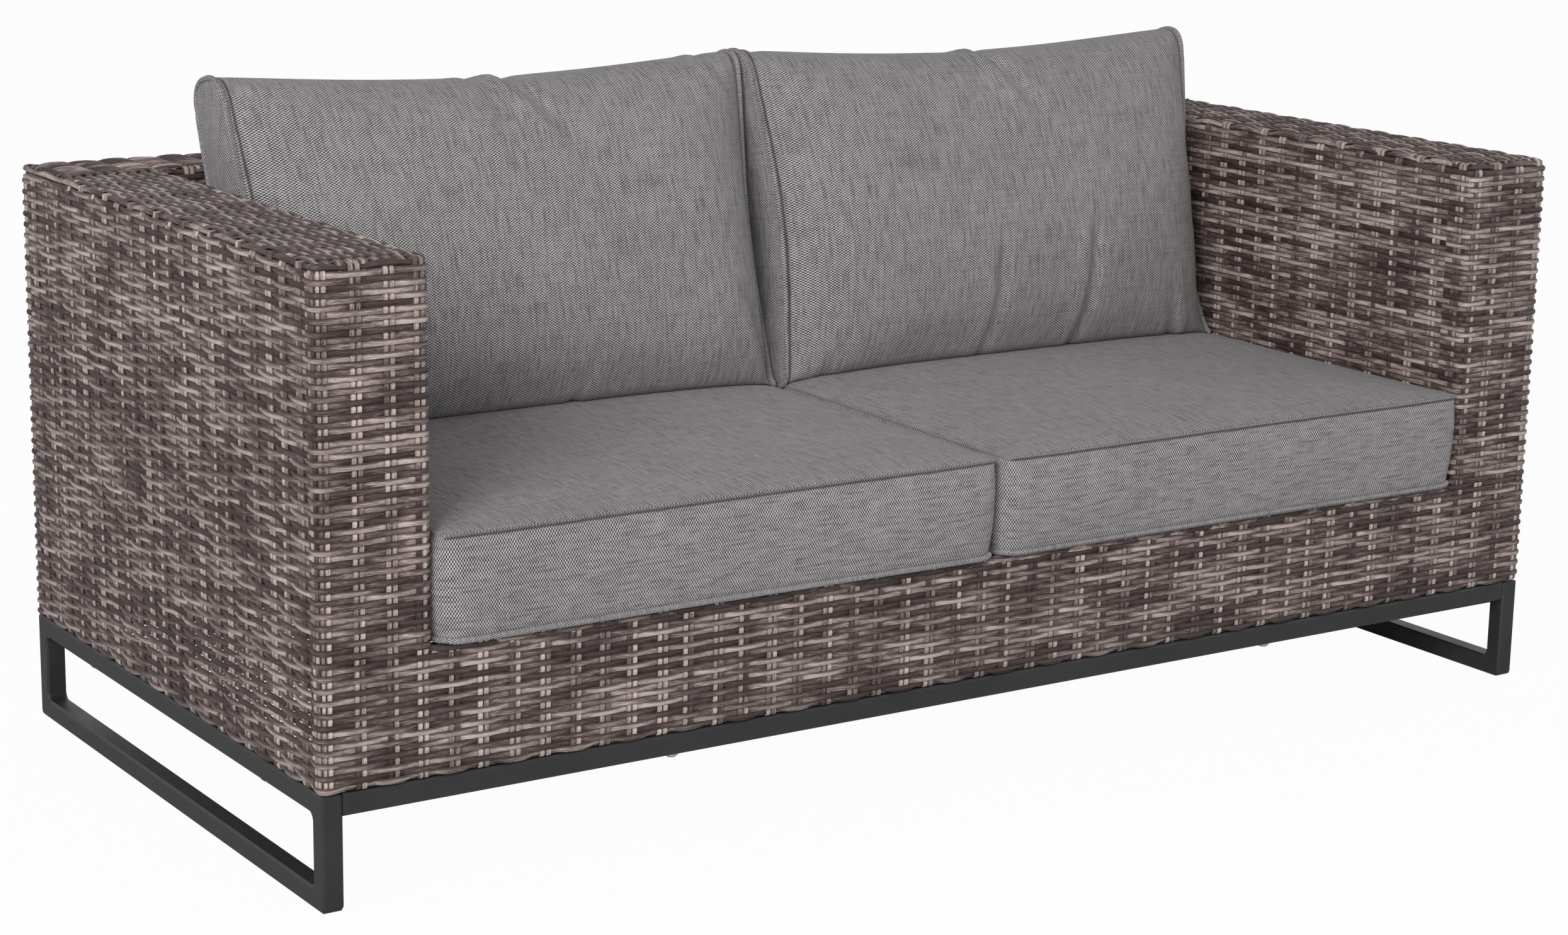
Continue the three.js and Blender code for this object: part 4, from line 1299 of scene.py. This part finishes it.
def back_cover(box, rear, foot_height, inset, cell, recessed):
    """The panels of the right back cushion: a wrap and two arched side panels, with the front
    drawn in at the seam on the side that recessed names. Gives its seams too."""
    sizes = settings("sofa_cushions")
    low, high = np.array(box[0]), np.array(box[1])
    centre = (low[0] + high[0]) / 2
    half_width = (high[0] - low[0]) / 2 - inset
    along, across_cells = round(sizes.back_height / cell), round(2 * half_width / cell)
    arch = sizes.back_top / 2 / sizes.back_height
    theta = np.linspace(0, math.pi / 2, ARCH_CELLS + 1)[1:]
    rising = np.concatenate([np.linspace(0, 1 - arch, along + 1), 1 - arch * (1 - np.sin(theta))])
    share = np.concatenate([rising, rising[-2::-1]])
    facing = np.where(np.arange(len(share)) < len(rising) - 1, 1.0, -1.0)
    across = np.linspace(-1, 1, across_cells + 1)[:, None]

    def section(share, facing, across):
        flat = sizes.back_foot + (sizes.back_top - sizes.back_foot) * share
        over = np.maximum(share - (1 - arch), 0) / arch
        half = flat / 2 * np.maximum(1 - over ** sizes.arch_power, 0) ** (1 / sizes.arch_power) - inset
        swell = np.where(facing < 0, sizes.front_crown, sizes.rear_crown)
        crown = 1 - np.abs(across) ** np.where(
            facing < 0, sizes.front_crown_power, sizes.back_crown_power)
        bow = sizes.seam_bow * np.sin(math.pi * share)
        high = sizes.back_height - 2 * inset - sizes.top_sag * (1 - across ** 2)
        out = np.maximum(half, 0) + swell * crown * belly(share, *SWELL_POWERS)
        drawn = ease(across * recessed, RECESS_START, 1.0) * (facing < 0)
        recess = sizes.recess * drawn * belly(share, *RECESS_POWERS)
        return facing * out - bow + sizes.back_foot / 2 + recess, inset + share * high

    def stand(x, u, w):
        level = math.pi * np.clip(w / sizes.back_height, 0, 1)
        pull = sizes.back_draw_in * np.sin(level) - sizes.flare * np.cos(level) ** 2
        pull = pull - sizes.ear * np.exp(-(w / sizes.ear_height) ** 2) * (1 + x) / 2
        y = rear - sizes.stand_out + u * math.cos(sizes.lean) + w * math.sin(sizes.lean)
        z = foot_height - u * math.sin(sizes.lean) + w * math.cos(sizes.lean)
        foot_share = (1 - np.clip(w / sizes.back_height, 0, 1)) ** 2
        top_draw = sizes.outer_draw - sizes.shove * (recessed > 0)
        outer = (top_draw + (sizes.foot_draw - top_draw) * foot_share) * (1 + x) / 2
        return np.stack([centre + (half_width - sizes.side_bulge - pull) * x - outer, y, z], -1)

    u, w = section(share[None, :], facing[None, :], across)
    sole = 2 * ARCH_CELLS
    step = np.linspace(0, 1, sole + 1)[1:-1]
    u = np.concatenate([u, u[:, -1:] + (u[:, :1] - u[:, -1:]) * step], 1)
    w = np.concatenate([w, np.full((len(w), sole - 1), inset)], 1)
    sewing = Sewing()
    index = sewing.add(stand(across, u, w))
    closed = np.column_stack([index, index[:, :1]])
    outline = np.stack([u, w], -1)
    around = np.linalg.norm(np.diff(outline, axis=1, append=outline[:, :1]), axis=-1)
    around = np.concatenate([np.zeros((len(around), 1)), np.cumsum(around, 1)], 1)
    around[:] = around.mean(0)
    wide = np.broadcast_to(across * half_width, around.shape)
    # Distance from the side seams, beside which the cloth's stitched groove is darkened with painted shade
    sewing.panel(closed, np.stack([wide, around], -1), half_width - np.abs(wide))
    pieces = {"inner_piping": index[0], "outer_piping": index[-1]}
    for row, sign in ((0, -1), (-1, 1)):
        # South is the foot, east the front, north the arch and west the rear
        order = np.arange(index.shape[1])
        rear_side = order[:along + 1]
        top_side = order[along:along + sole + 1]
        front_side = order[along + sole:2 * along + sole + 1]
        foot_side = np.append(order[2 * along + sole:], order[0])
        flat = outline[row]
        grid_plan = coons(
            flat[foot_side[::-1]], flat[top_side], flat[rear_side], flat[front_side[::-1]])
        height, width = grid_plan.shape[:2]
        p = np.linspace(-1, 1, width)[None, :]
        q = np.linspace(-1, 1, height)[:, None]
        dome = (1 - np.abs(p) ** SIDE_POWERS[0]) * (1 - np.abs(q) ** SIDE_POWERS[1])
        places = stand(np.full((height, width), float(sign)), grid_plan[..., 0], grid_plan[..., 1])
        places[..., 0] += sign * sizes.side_bulge * dome
        grid = np.empty((height, width), int)
        grid[1:-1, 1:-1] = sewing.add(places[1:-1, 1:-1])
        numbers = index[row]
        grid[0], grid[-1] = numbers[foot_side[::-1]], numbers[top_side]
        grid[:, 0], grid[:, -1] = numbers[rear_side], numbers[front_side[::-1]]
        sewing.panel(grid, grid_plan, np.full(grid.shape, FAR), flip=sign > 0)
    return sewing, pieces


# The cloth of the covers in the simulation, the frames that it runs, and the rounds that even it
COVER_CLOTH = {
    "quality": 5, "mass": 0.3, "tension_stiffness": 12, "compression_stiffness": 12,
    "shear_stiffness": 4, "bending_stiffness": 0.4, "use_pressure": True}
FILLING_FRAMES = 20
EVENING_ROUNDS = 3
TINY = 1e-9


def inflate(piece, held, reach):
    """Fills a cover by cloth simulation with the held points pinned, and limits how far cloth moves."""
    sizes = settings("sofa_cushions")
    scene = bpy.context.scene
    rest = vertices_of(piece)
    group = piece.vertex_groups.new(name="held")
    group.add([int(i) for i in held], 1.0, "REPLACE")
    make_active(piece)
    bpy.ops.object.modifier_add(type="CLOTH")
    modifier = piece.modifiers[-1]
    cloth = modifier.settings
    for name, value in COVER_CLOTH.items():
        setattr(cloth, name, value)
    cloth.uniform_pressure_force = sizes.pressure
    cloth.effector_weights.gravity = 0
    cloth.shrink_min = -sizes.slack
    cloth.vertex_group_mass = group.name
    modifier.point_cache.frame_end = FILLING_FRAMES
    for step in range(1, FILLING_FRAMES + 1):
        scene.frame_set(step)
    bpy.ops.object.modifier_apply(modifier=modifier.name)
    scene.frame_set(1)
    moved = settled(piece, vertices_of(piece) - rest, held)
    distance = np.linalg.norm(moved, axis=1, keepdims=True)
    soft = reach * np.tanh(distance / reach)
    place_vertices(piece, rest + moved * soft / np.maximum(distance, TINY))
    piece.vertex_groups.clear()


def settled(piece, moved, held):
    """Evens out how far neighbouring points move, so that only broad swells and folds are left."""
    mesh = piece.data
    edges = np.empty(len(mesh.edges) * 2, int)
    mesh.edges.foreach_get("vertices", edges)
    a, b = edges.reshape(-1, 2).T
    count = np.bincount(edges, minlength=len(moved))[:, None]
    for _ in range(EVENING_ROUNDS):
        around = np.zeros_like(moved)
        np.add.at(around, a, moved[b])
        np.add.at(around, b, moved[a])
        moved = (moved + around / count) / 2
        moved[held] = 0
    return moved


def refine(piece):
    make_active(piece)
    bpy.ops.object.modifier_add(type="SUBSURF")
    modifier = piece.modifiers[-1]
    modifier.levels = modifier.render_levels = 1
    bpy.ops.object.modifier_apply(modifier=modifier.name)


# Folds in the fronts of the back cushions: both ends as x and z, then half width and depth
FOLDS = {
    "left": (
        ((-0.343, 0.80), (-0.291, 0.725), 0.011, 0.009),
        ((-0.378, 0.80), (-0.362, 0.700), 0.009, 0.003),
        ((-0.056, 0.80), (-0.036, 0.745), 0.008, 0.005),
        ((-0.045, 0.475), (-0.014, 0.395), 0.009, 0.007),
        ((-0.300, 0.395), (-0.286, 0.450), 0.008, 0.005),
        ((-0.610, 0.395), (-0.622, 0.460), 0.009, 0.004),
    ),
    "right": (
        ((0.361, 0.80), (0.403, 0.725), 0.010, 0.010),
        ((0.470, 0.540), (0.448, 0.385), 0.009, 0.008),
        ((0.317, 0.530), (0.299, 0.385), 0.008, 0.007),
        ((0.620, 0.395), (0.603, 0.455), 0.008, 0.006),
        ((0.060, 0.395), (0.085, 0.450), 0.009, 0.003),
        ((0.030, 0.79), (0.052, 0.700), 0.009, 0.004),
    ),
}


# A fold's ridge in widths aside, in widths across and as a share of the valley's depth, the reach of
# its ends in widths, how much it thins out, and how far round to the side of the cover it goes
RIDGE_ASIDE, RIDGE_WIDTH, RIDGE_SHARE = 1.7, 1.2, 0.55
FOLD_ENDS, FOLD_THINNING, FOLD_ROUND = 2, 0.6, 0.4


def fold_cloth(piece, folds):
    """Presses folds into the front of a cover: a valley with a soft ridge beside it."""
    places = vertices_of(piece)
    normals = np.array([vertex.normal for vertex in piece.data.vertices])
    front = np.clip((FOLD_ROUND - normals[:, 1]) / FOLD_ROUND, 0, 1)
    push = np.zeros(len(places))
    for start, end, width, depth in folds:
        start, run = np.array(start), np.array(end) - np.array(start)
        length = np.linalg.norm(run)
        run = run / length
        into = places[:, (0, 2)] - start
        along, aside = into @ run, into @ np.array([run[1], -run[0]])
        beyond = np.maximum(-along, 0) + np.maximum(along - length, 0)
        fade = np.exp(-(beyond / (FOLD_ENDS * width)) ** 2)
        fade *= 1 - FOLD_THINNING * np.clip(along / length, 0, 1)
        valley = np.exp(-(aside / width) ** 2)
        ridge = np.exp(-((aside - RIDGE_ASIDE * width) / (RIDGE_WIDTH * width)) ** 2)
        push += depth * fade * (RIDGE_SHARE * ridge - valley)
    place_vertices(piece, places + normals * (push * front)[:, None])


def seam_frames(piece, loop):
    """Places and outward directions along a closed row of a cover's points."""
    mesh = piece.data
    places = np.array([mesh.vertices[int(i)].co for i in loop])
    normals = np.array([mesh.vertices[int(i)].normal for i in loop])
    return places, normals


def smooth_loop(values, steps):
    """A closed curve through the values, at the given number of places (Catmull-Rom)."""
    count = len(values)
    place = np.arange(steps + 1) * count / steps
    i, t = np.floor(place).astype(int) % count, (place % 1)[:, None]
    p0, p1, p2, p3 = (values[(i + k) % count] for k in (-1, 0, 1, 2))
    return 0.5 * (2 * p1 + (p2 - p0) * t + (2 * p0 - 5 * p1 + 4 * p2 - p3) * t ** 2
                  + (3 * p1 - p0 - 3 * p2 + p3) * t ** 3)


# Length and sides of a cord's facets
CORD_STEP = 0.004
CORD_SIDES = 8


def sew_cord(cords, piece, loop, radius, proud, rest_on=None):
    """Adds a cord along a seam to the cords, standing a little proud of the cloth."""
    places, normals = seam_frames(piece, loop)
    length = np.linalg.norm(np.diff(places, axis=0, append=places[:1]), axis=1).sum()
    steps = int(length / CORD_STEP)
    path, out = smooth_loop(places, steps), smooth_loop(normals, steps)
    tangent = np.roll(path[:-1], -1, 0) - np.roll(path[:-1], 1, 0)
    tangent = np.append(tangent, tangent[:1], 0)
    tangent /= np.linalg.norm(tangent, axis=1, keepdims=True)
    out -= tangent * (out * tangent).sum(1, keepdims=True)
    out /= np.linalg.norm(out, axis=1, keepdims=True)
    aside = np.cross(tangent, out)
    path = path + out * radius * proud
    if rest_on:
        path = lifted(path, rest_on, radius)
    angle = (np.arange(CORD_SIDES) * 2 * math.pi / CORD_SIDES)[None, :, None]
    ring = radius * (np.cos(angle) * out[:, None] + np.sin(angle) * aside[:, None])
    along = np.concatenate([[0], np.cumsum(np.linalg.norm(np.diff(path, axis=0), axis=1))])
    cords.add((path[:, None] + ring)[None], along)


# Distances from the middle from which rays are cast at the cushions, and how far to both sides
# a filling looks for the folds of its cover
OUTSIDE = 1.0
BESIDE = 0.012


def lifted(places, seat, gap):
    """Lifts places that are in or under the top of a seat cushion to rest on it."""
    places = places.copy()
    for place in places:
        hit = seat.ray_cast(Vector((place[0], place[1], OUTSIDE)), Vector((0, 0, -1)))[0]
        if hit:
            place[2] = max(place[2], hit.z + gap)
    return places


def held_behind(places, cover, room):
    """Keeps a filling behind the front of its cover, also beside the cover's folds."""
    for place in places:
        for aside in (-BESIDE, 0.0, BESIDE):
            hit = cover.ray_cast(Vector((place[0] + aside, -OUTSIDE, place[2])), Vector((0, 1, 0)))[0]
            if hit:
                place[1] = max(place[1], hit.y + room)
    return places


# A zip's slider and the pull that hangs from it: size, place and rounding, along, up and off the coil
SLIDER_PARTS = (
    ((0.0115, 0.0085, 0.0036), (0, 0, 0.0022), 0.0009),
    ((0.0062, 0.026, 0.0011), (0, -0.0135, 0.0042), 0.0004),
)
# How far a tape stands off the cloth at its inner and outer edge and at its back, half the gap
# between the tapes, and the coil's section as up and off
TAPE_INNER, TAPE_OUTER, TAPE_BACK = 0.0009, 0.0007, -0.0006
TAPE_GAP = 0.0004
COIL = [(-0.0026, 0.0005), (-0.0020, 0.0017), (0, 0.0022), (0.0020, 0.0017), (0.0026, 0.0005)]
# How much higher every other ring of the coil stands, for points that stand this far off
TOOTH_RISE, TOOTH_FROM = 0.0005, 0.001
# Stations on each side that even out the run of a zip, stations in one face of a tape, and the
# share of a zip's length at which its slider stands
EVENED_STATIONS = 12
TAPE_STATIONS = 10
SLIDER_SHARE = 0.03


def zip_slider():
    """Corners and faces of a slider with its hanging pull, as places along, up and off the teeth."""
    deselect()
    bpy.ops.mesh.primitive_cube_add(size=1)
    body = bpy.context.active_object
    bpy.ops.object.mode_set(mode="EDIT")
    bpy.ops.mesh.delete(type="VERT")
    for size, place, rounding in SLIDER_PARTS:
        bpy.ops.mesh.primitive_cube_add(size=1)
        bpy.ops.transform.resize(value=size)
        bpy.ops.transform.translate(value=place)
        bpy.ops.mesh.bevel(offset=rounding, segments=2)
    bpy.ops.object.mode_set(mode="OBJECT")
    places = vertices_of(body)
    faces = [tuple(face.vertices) for face in body.data.polygons]
    bpy.data.objects.remove(body)
    return places, faces


def lay_zip(name, cover, low, high, height):
    """A zip laid on the rear of a cover at one height: two tapes, the coil and the slider."""
    sizes = settings("sofa_cushions")
    surface = surface_of(cover)
    stations = np.arange(low, high, sizes.zip_teeth / 2)
    hits = [surface.ray_cast(Vector((x, OUTSIDE, height)), Vector((0, -1, 0))) for x in stations]
    path = np.array([hit[0] for hit in hits])
    out = np.array([hit[1] for hit in hits])
    window = 2 * EVENED_STATIONS + 1
    share = np.ones(window) / window
    for values in (path[:, 1], out[:, 0], out[:, 1], out[:, 2]):
        values[:] = np.convolve(np.pad(values, EVENED_STATIONS, mode="edge"), share, "valid")
    out /= np.linalg.norm(out, axis=1, keepdims=True)
    tangent = np.gradient(path, axis=0)
    tangent /= np.linalg.norm(tangent, axis=1, keepdims=True)
    up = np.cross(out, tangent)
    up *= np.sign(up[:, 2:])

    def ribbon(section, rise=0.0, pick=slice(None)):
        section = np.array(section)[None]
        tooth = np.where(np.arange(len(path)) % 2, rise, 0)[pick, None, None]
        middle, off, aside = (values[pick, None] for values in (path, out, up))
        height = section[..., 1:] + tooth * (section[..., 1:] > TOOTH_FROM)
        return (middle + aside * section[..., :1] + off * height)[None]

    strips = Strands(71)
    along = stations - stations[0]
    coarse = slice(None, None, TAPE_STATIONS)
    for sign in (-1, 1):
        inner, outer = sign * TAPE_GAP, sign * sizes.zip_width
        tape = [(inner, TAPE_BACK), (inner, TAPE_INNER), (outer, TAPE_OUTER), (outer, TAPE_BACK)]
        strips.add(ribbon(tape, pick=coarse), along[coarse])
    strips.add(ribbon(COIL, rise=TOOTH_RISE), along)
    places, faces = zip_slider()
    here = int(len(path) * SLIDER_SHARE)
    axes = np.array([tangent[here], up[here], out[here]])
    if np.linalg.det(axes) < 0:
        faces = [face[::-1] for face in faces]
    strips.add_solid(places @ axes + path[here], places, faces)
    return strips.piece(name)


def close(side, part):
    """Sews the zip into the rear of a cushion."""
    node = f"{side}_{part}_cushion_zip"
    low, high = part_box(node)
    piece = lay_zip(
        f"{side}_{part}_zip", f"{side}_{part}_cover", low.x, high.x, (low.z + high.z) / 2)
    finish_piece(piece, f"{side}_{part}_cushion", zip_finish(), "zip_tape", node)


def finish_piping(cords, side, part):
    finish_piece(
        cords.piece(f"{side}_{part}_piping"), f"{side}_{part}_cushion", piping_finish(),
        "cushion_cloth", f"{side}_{part}_cushion_cover")


class SOFA_OT_seat_cushions(bpy.types.Operator):
    """Sew and fill the seat cushions"""
    bl_idname = "sofa.seat_cushions"
    bl_label = "Seat cushions"

    def execute(self, context):
        sizes = settings("sofa_cushions")
        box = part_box("right_seat_cushion_cover")
        for side, sign in SIDES.items():
            body = f"{side}_seat_cushion"
            sewing, seams, bottom = seat_cover(box, 0.0, sizes.cell)
            cover = sewing.piece(f"{side}_seat_cover", mirror=sign < 0)
            held = np.concatenate([*seams.values(), bottom])
            inflate(cover, held, sizes.seat_reach)
            refine(cover)
            places = vertices_of(cover)
            inner, outer = box[0].x - sizes.rest / 2, box[1].x + sizes.rest / 2
            places[:, 0] = sign * np.clip(sign * places[:, 0], inner, outer)
            places[:, 1] = np.minimum(places[:, 1], box[1].y)
            place_vertices(cover, places)
            finish_piece(cover, body, cloth_finish(), "cushion_cloth", f"{side}_seat_cushion_cover")
            cords = Strands(51)
            sew_cord(cords, cover, seams["piping"], sizes.piping, 0.6)
            sew_cord(cords, cover, seams["welt"], sizes.welt, 0.5)
            finish_piping(cords, side, "seat")
            sewing = seat_cover(box, sizes.room, sizes.cell * 3)[0]
            foam = sewing.piece(f"{side}_seat_foam", mirror=sign < 0)
            refine(foam)
            finish_piece(foam, body, filling_finish(), "cushion_filling", f"{side}_seat_cushion_foam")
            close(side, "seat")
        return {"FINISHED"}


class SOFA_OT_back_cushions(bpy.types.Operator):
    """Sew and fill the back cushions"""
    bl_idname = "sofa.back_cushions"
    bl_label = "Back cushions"

    def execute(self, context):
        sizes = settings("sofa_cushions")
        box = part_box("right_back_cushion_cover")
        rear = box[1].y - sizes.rest
        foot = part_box("right_seat_cushion_cover")[0].z + sizes.seam_height
        for side, sign in SIDES.items():
            body = f"{side}_back_cushion"
            seat = surface_of(f"{side}_seat_cover")
            sewing, seams = back_cover(box, rear, foot, 0.0, sizes.cell, sign)
            cover = sewing.piece(f"{side}_back_cover", mirror=sign < 0)
            inflate(cover, np.concatenate(list(seams.values())), sizes.back_reach)
            refine(cover)
            fold_cloth(cover, FOLDS[side])
            places = lifted(vertices_of(cover), seat, sizes.rest)
            places[:, 1] = np.minimum(places[:, 1], rear)
            place_vertices(cover, places)
            finish_piece(cover, body, cloth_finish(), "cushion_cloth", f"{side}_back_cushion_cover")
            cords = Strands(61)
            for loop in seams.values():
                sew_cord(cords, cover, loop, sizes.piping, 0.4, seat)
            finish_piping(cords, side, "back")
            sewing = back_cover(
                box, rear - sizes.back_room, foot, sizes.back_room, sizes.cell * 2, sign)[0]
            fill = sewing.piece(f"{side}_back_fill", mirror=sign < 0)
            refine(fill)
            places = lifted(vertices_of(fill), seat, sizes.back_room)
            places = held_behind(places, surface_of(f"{side}_back_cover"), sizes.back_room / 2)
            places[:, 1] = np.minimum(places[:, 1], rear - sizes.back_room)
            place_vertices(fill, places)
            finish_piece(fill, body, filling_finish(), "cushion_filling", f"{side}_back_cushion_fill")
            close(side, "back")
        return {"FINISHED"}


def surface_of(name):
    piece = bpy.data.objects[name]
    return BVHTree.FromPolygons(
        [piece.matrix_world @ v.co for v in piece.data.vertices],
        [tuple(face.vertices) for face in piece.data.polygons])


# The base and the frame inside

class SOFA_OT_metalwork(bpy.types.Operator):
    """Finish the sled base, the bolts and the welded frame inside the weave"""
    bl_idname = "sofa.metalwork"
    bl_label = "Metalwork"

    def execute(self, context):
        tones = settings("sofa_colours")
        coat, bare, steel = (np.array(tone) for tone in (tones.powder_coat, tones.aluminium, tones.steel))
        coated = metal_finish("anthracite_coat", coat, coat * 0.8, 0.1, (0.42, 0.5))
        frame_metal = metal_finish("bare_aluminium", bare, bare * 0.75, 0.9, (0.42, 0.55))
        bolt_steel = metal_finish("bolt_steel", steel, steel * 0.7, 0.2, (0.45, 0.6))
        for name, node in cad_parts.items():
            if "sled" in name or "rail" in name:
                dress(node, coated)
            elif "bolt" in name:
                dress(node, bolt_steel)
            elif "frame" in name or "bearer" in name or "spacer" in name:
                dress(node, frame_metal)
        return {"FINISHED"}


# Stage

class SOFA_OT_stage(bpy.types.Operator):
    """Stand the camera, the lamps, the floor and the world"""
    bl_idname = "sofa.stage"
    bl_label = "Stage"

    def execute(self, context):
        place_camera(context.scene)
        lay_floor()
        hang_lamps()
        light_world(context.scene)
        context.scene.view_settings.view_transform = "Standard"
        return {"FINISHED"}


def place_camera(scene):
    view = settings("sofa_view")
    a, e, r = view.azimuth, view.elevation, view.roll
    back = Vector((math.sin(a) * math.cos(e), -math.cos(a) * math.cos(e), math.sin(e)))
    right = Vector((0, 0, 1)).cross(back).normalized()
    up = back.cross(right)
    turned_right = math.cos(r) * right + math.sin(r) * up
    turned_up = math.cos(r) * up - math.sin(r) * right
    data = bpy.data.cameras.new("camera")
    data.lens = view.lens
    data.clip_end = 60
    camera = bpy.data.objects.new("camera", data)
    scene.collection.objects.link(camera)
    turn = Matrix((turned_right, turned_up, back)).transposed().to_4x4()
    camera.matrix_world = Matrix.Translation(Vector(view.target) + back * view.distance) @ turn
    scene.camera = camera


def lay_floor():
    deselect()
    bpy.ops.mesh.primitive_plane_add(size=40)
    floor = bpy.context.active_object
    floor.name = "floor"
    finish = Finish("pale_floor", Roughness=0.9)
    net, links = finish.net, finish.material.node_tree.links
    place = net.add("TexCoord").outputs["Object"]
    shade = net.blend(net.noise(place, 3.0), (0.60, 0.60, 0.60), (0.63, 0.63, 0.63))
    links.new(shade, finish.shader.inputs["Base Color"])
    seen = net.add("LightPath").outputs["Is Camera Ray"]
    glow = net.add("Emission", {"Color": (1, 1, 1, 1), "Strength": 1.0})
    share = net.times(seen, 0.97)
    mix = net.add("MixShader", {0: share, 1: finish.shader.outputs[0], 2: glow.outputs[0]})
    end = finish.material.node_tree.nodes["Material Output"]
    links.new(mix.outputs[0], end.inputs["Surface"])
    dress(floor, finish.material)


def hang_lamps():
    target = Vector((0, 0, 0.4))
    for name, place, size, power in (
        ("beside_camera", (-4.2, -6.4, 3.1), 4.0, 180),
        ("window_left", (-6.0, -4.5, 3.9), 3.2, 385),
        ("window_right", (6.1, -5.4, 3.6), 4.6, 118),
    ):
        data = bpy.data.lights.new(name, "AREA")
        data.shape = "SQUARE"
        data.size = size
        data.energy = power
        lamp = bpy.data.objects.new(name, data)
        bpy.context.scene.collection.objects.link(lamp)
        lamp.location = place
        lamp.rotation_euler = (Vector(place) - target).to_track_quat("Z", "Y").to_euler()


def light_world(scene):
    world = bpy.data.worlds.new("pale_room")
    world.use_nodes = True
    scene.world = world
    net = Net(world.node_tree)
    path = net.add("LightPath").outputs
    seen = net.maths("MAXIMUM", path["Is Camera Ray"], path["Is Transmission Ray"])
    shine = net.maths("MAXIMUM", seen, net.times(path["Is Glossy Ray"], 0.75))
    strength = net.stretch(shine, 0.0, 1.0, 0.25, 1.0)
    background = world.node_tree.nodes["Background"]
    background.inputs["Color"].default_value = (1, 1, 1, 1)
    world.node_tree.links.new(strength, background.inputs["Strength"])


PROPERTY_GROUPS = {
    "sofa_weave": SofaWeave, "sofa_cushions": SofaCushions, "sofa_colours": SofaColours,
    "sofa_view": SofaView}
OPERATORS = (
    SOFA_OT_stage, SOFA_OT_outer_skins, SOFA_OT_arm_skins, SOFA_OT_top_skins, SOFA_OT_seat_deck,
    SOFA_OT_seat_cushions, SOFA_OT_back_cushions, SOFA_OT_metalwork)


class SOFA_PT_panel(bpy.types.Panel):
    """The sofa's steps, in the order in which they are made"""
    bl_idname = "SOFA_PT_panel"
    bl_label = "Garden sofa"
    bl_space_type = "VIEW_3D"
    bl_region_type = "UI"
    bl_category = "Sofa"

    def draw(self, context):
        for operator in OPERATORS:
            self.layout.operator(operator.bl_idname)


def register():
    for name, group in PROPERTY_GROUPS.items():
        bpy.utils.register_class(group)
        setattr(bpy.types.Scene, name, PointerProperty(type=group))
    for kind in (*OPERATORS, SOFA_PT_panel):
        bpy.utils.register_class(kind)


def unregister():
    for kind in reversed((*OPERATORS, SOFA_PT_panel)):
        bpy.utils.unregister_class(kind)
    for name, group in PROPERTY_GROUPS.items():
        delattr(bpy.types.Scene, name)
        bpy.utils.unregister_class(group)


def main():
    register()
    for operator in OPERATORS:
        section, name = operator.bl_idname.split(".")
        getattr(getattr(bpy.ops, section), name)()


if __name__ == "__main__":
    main()
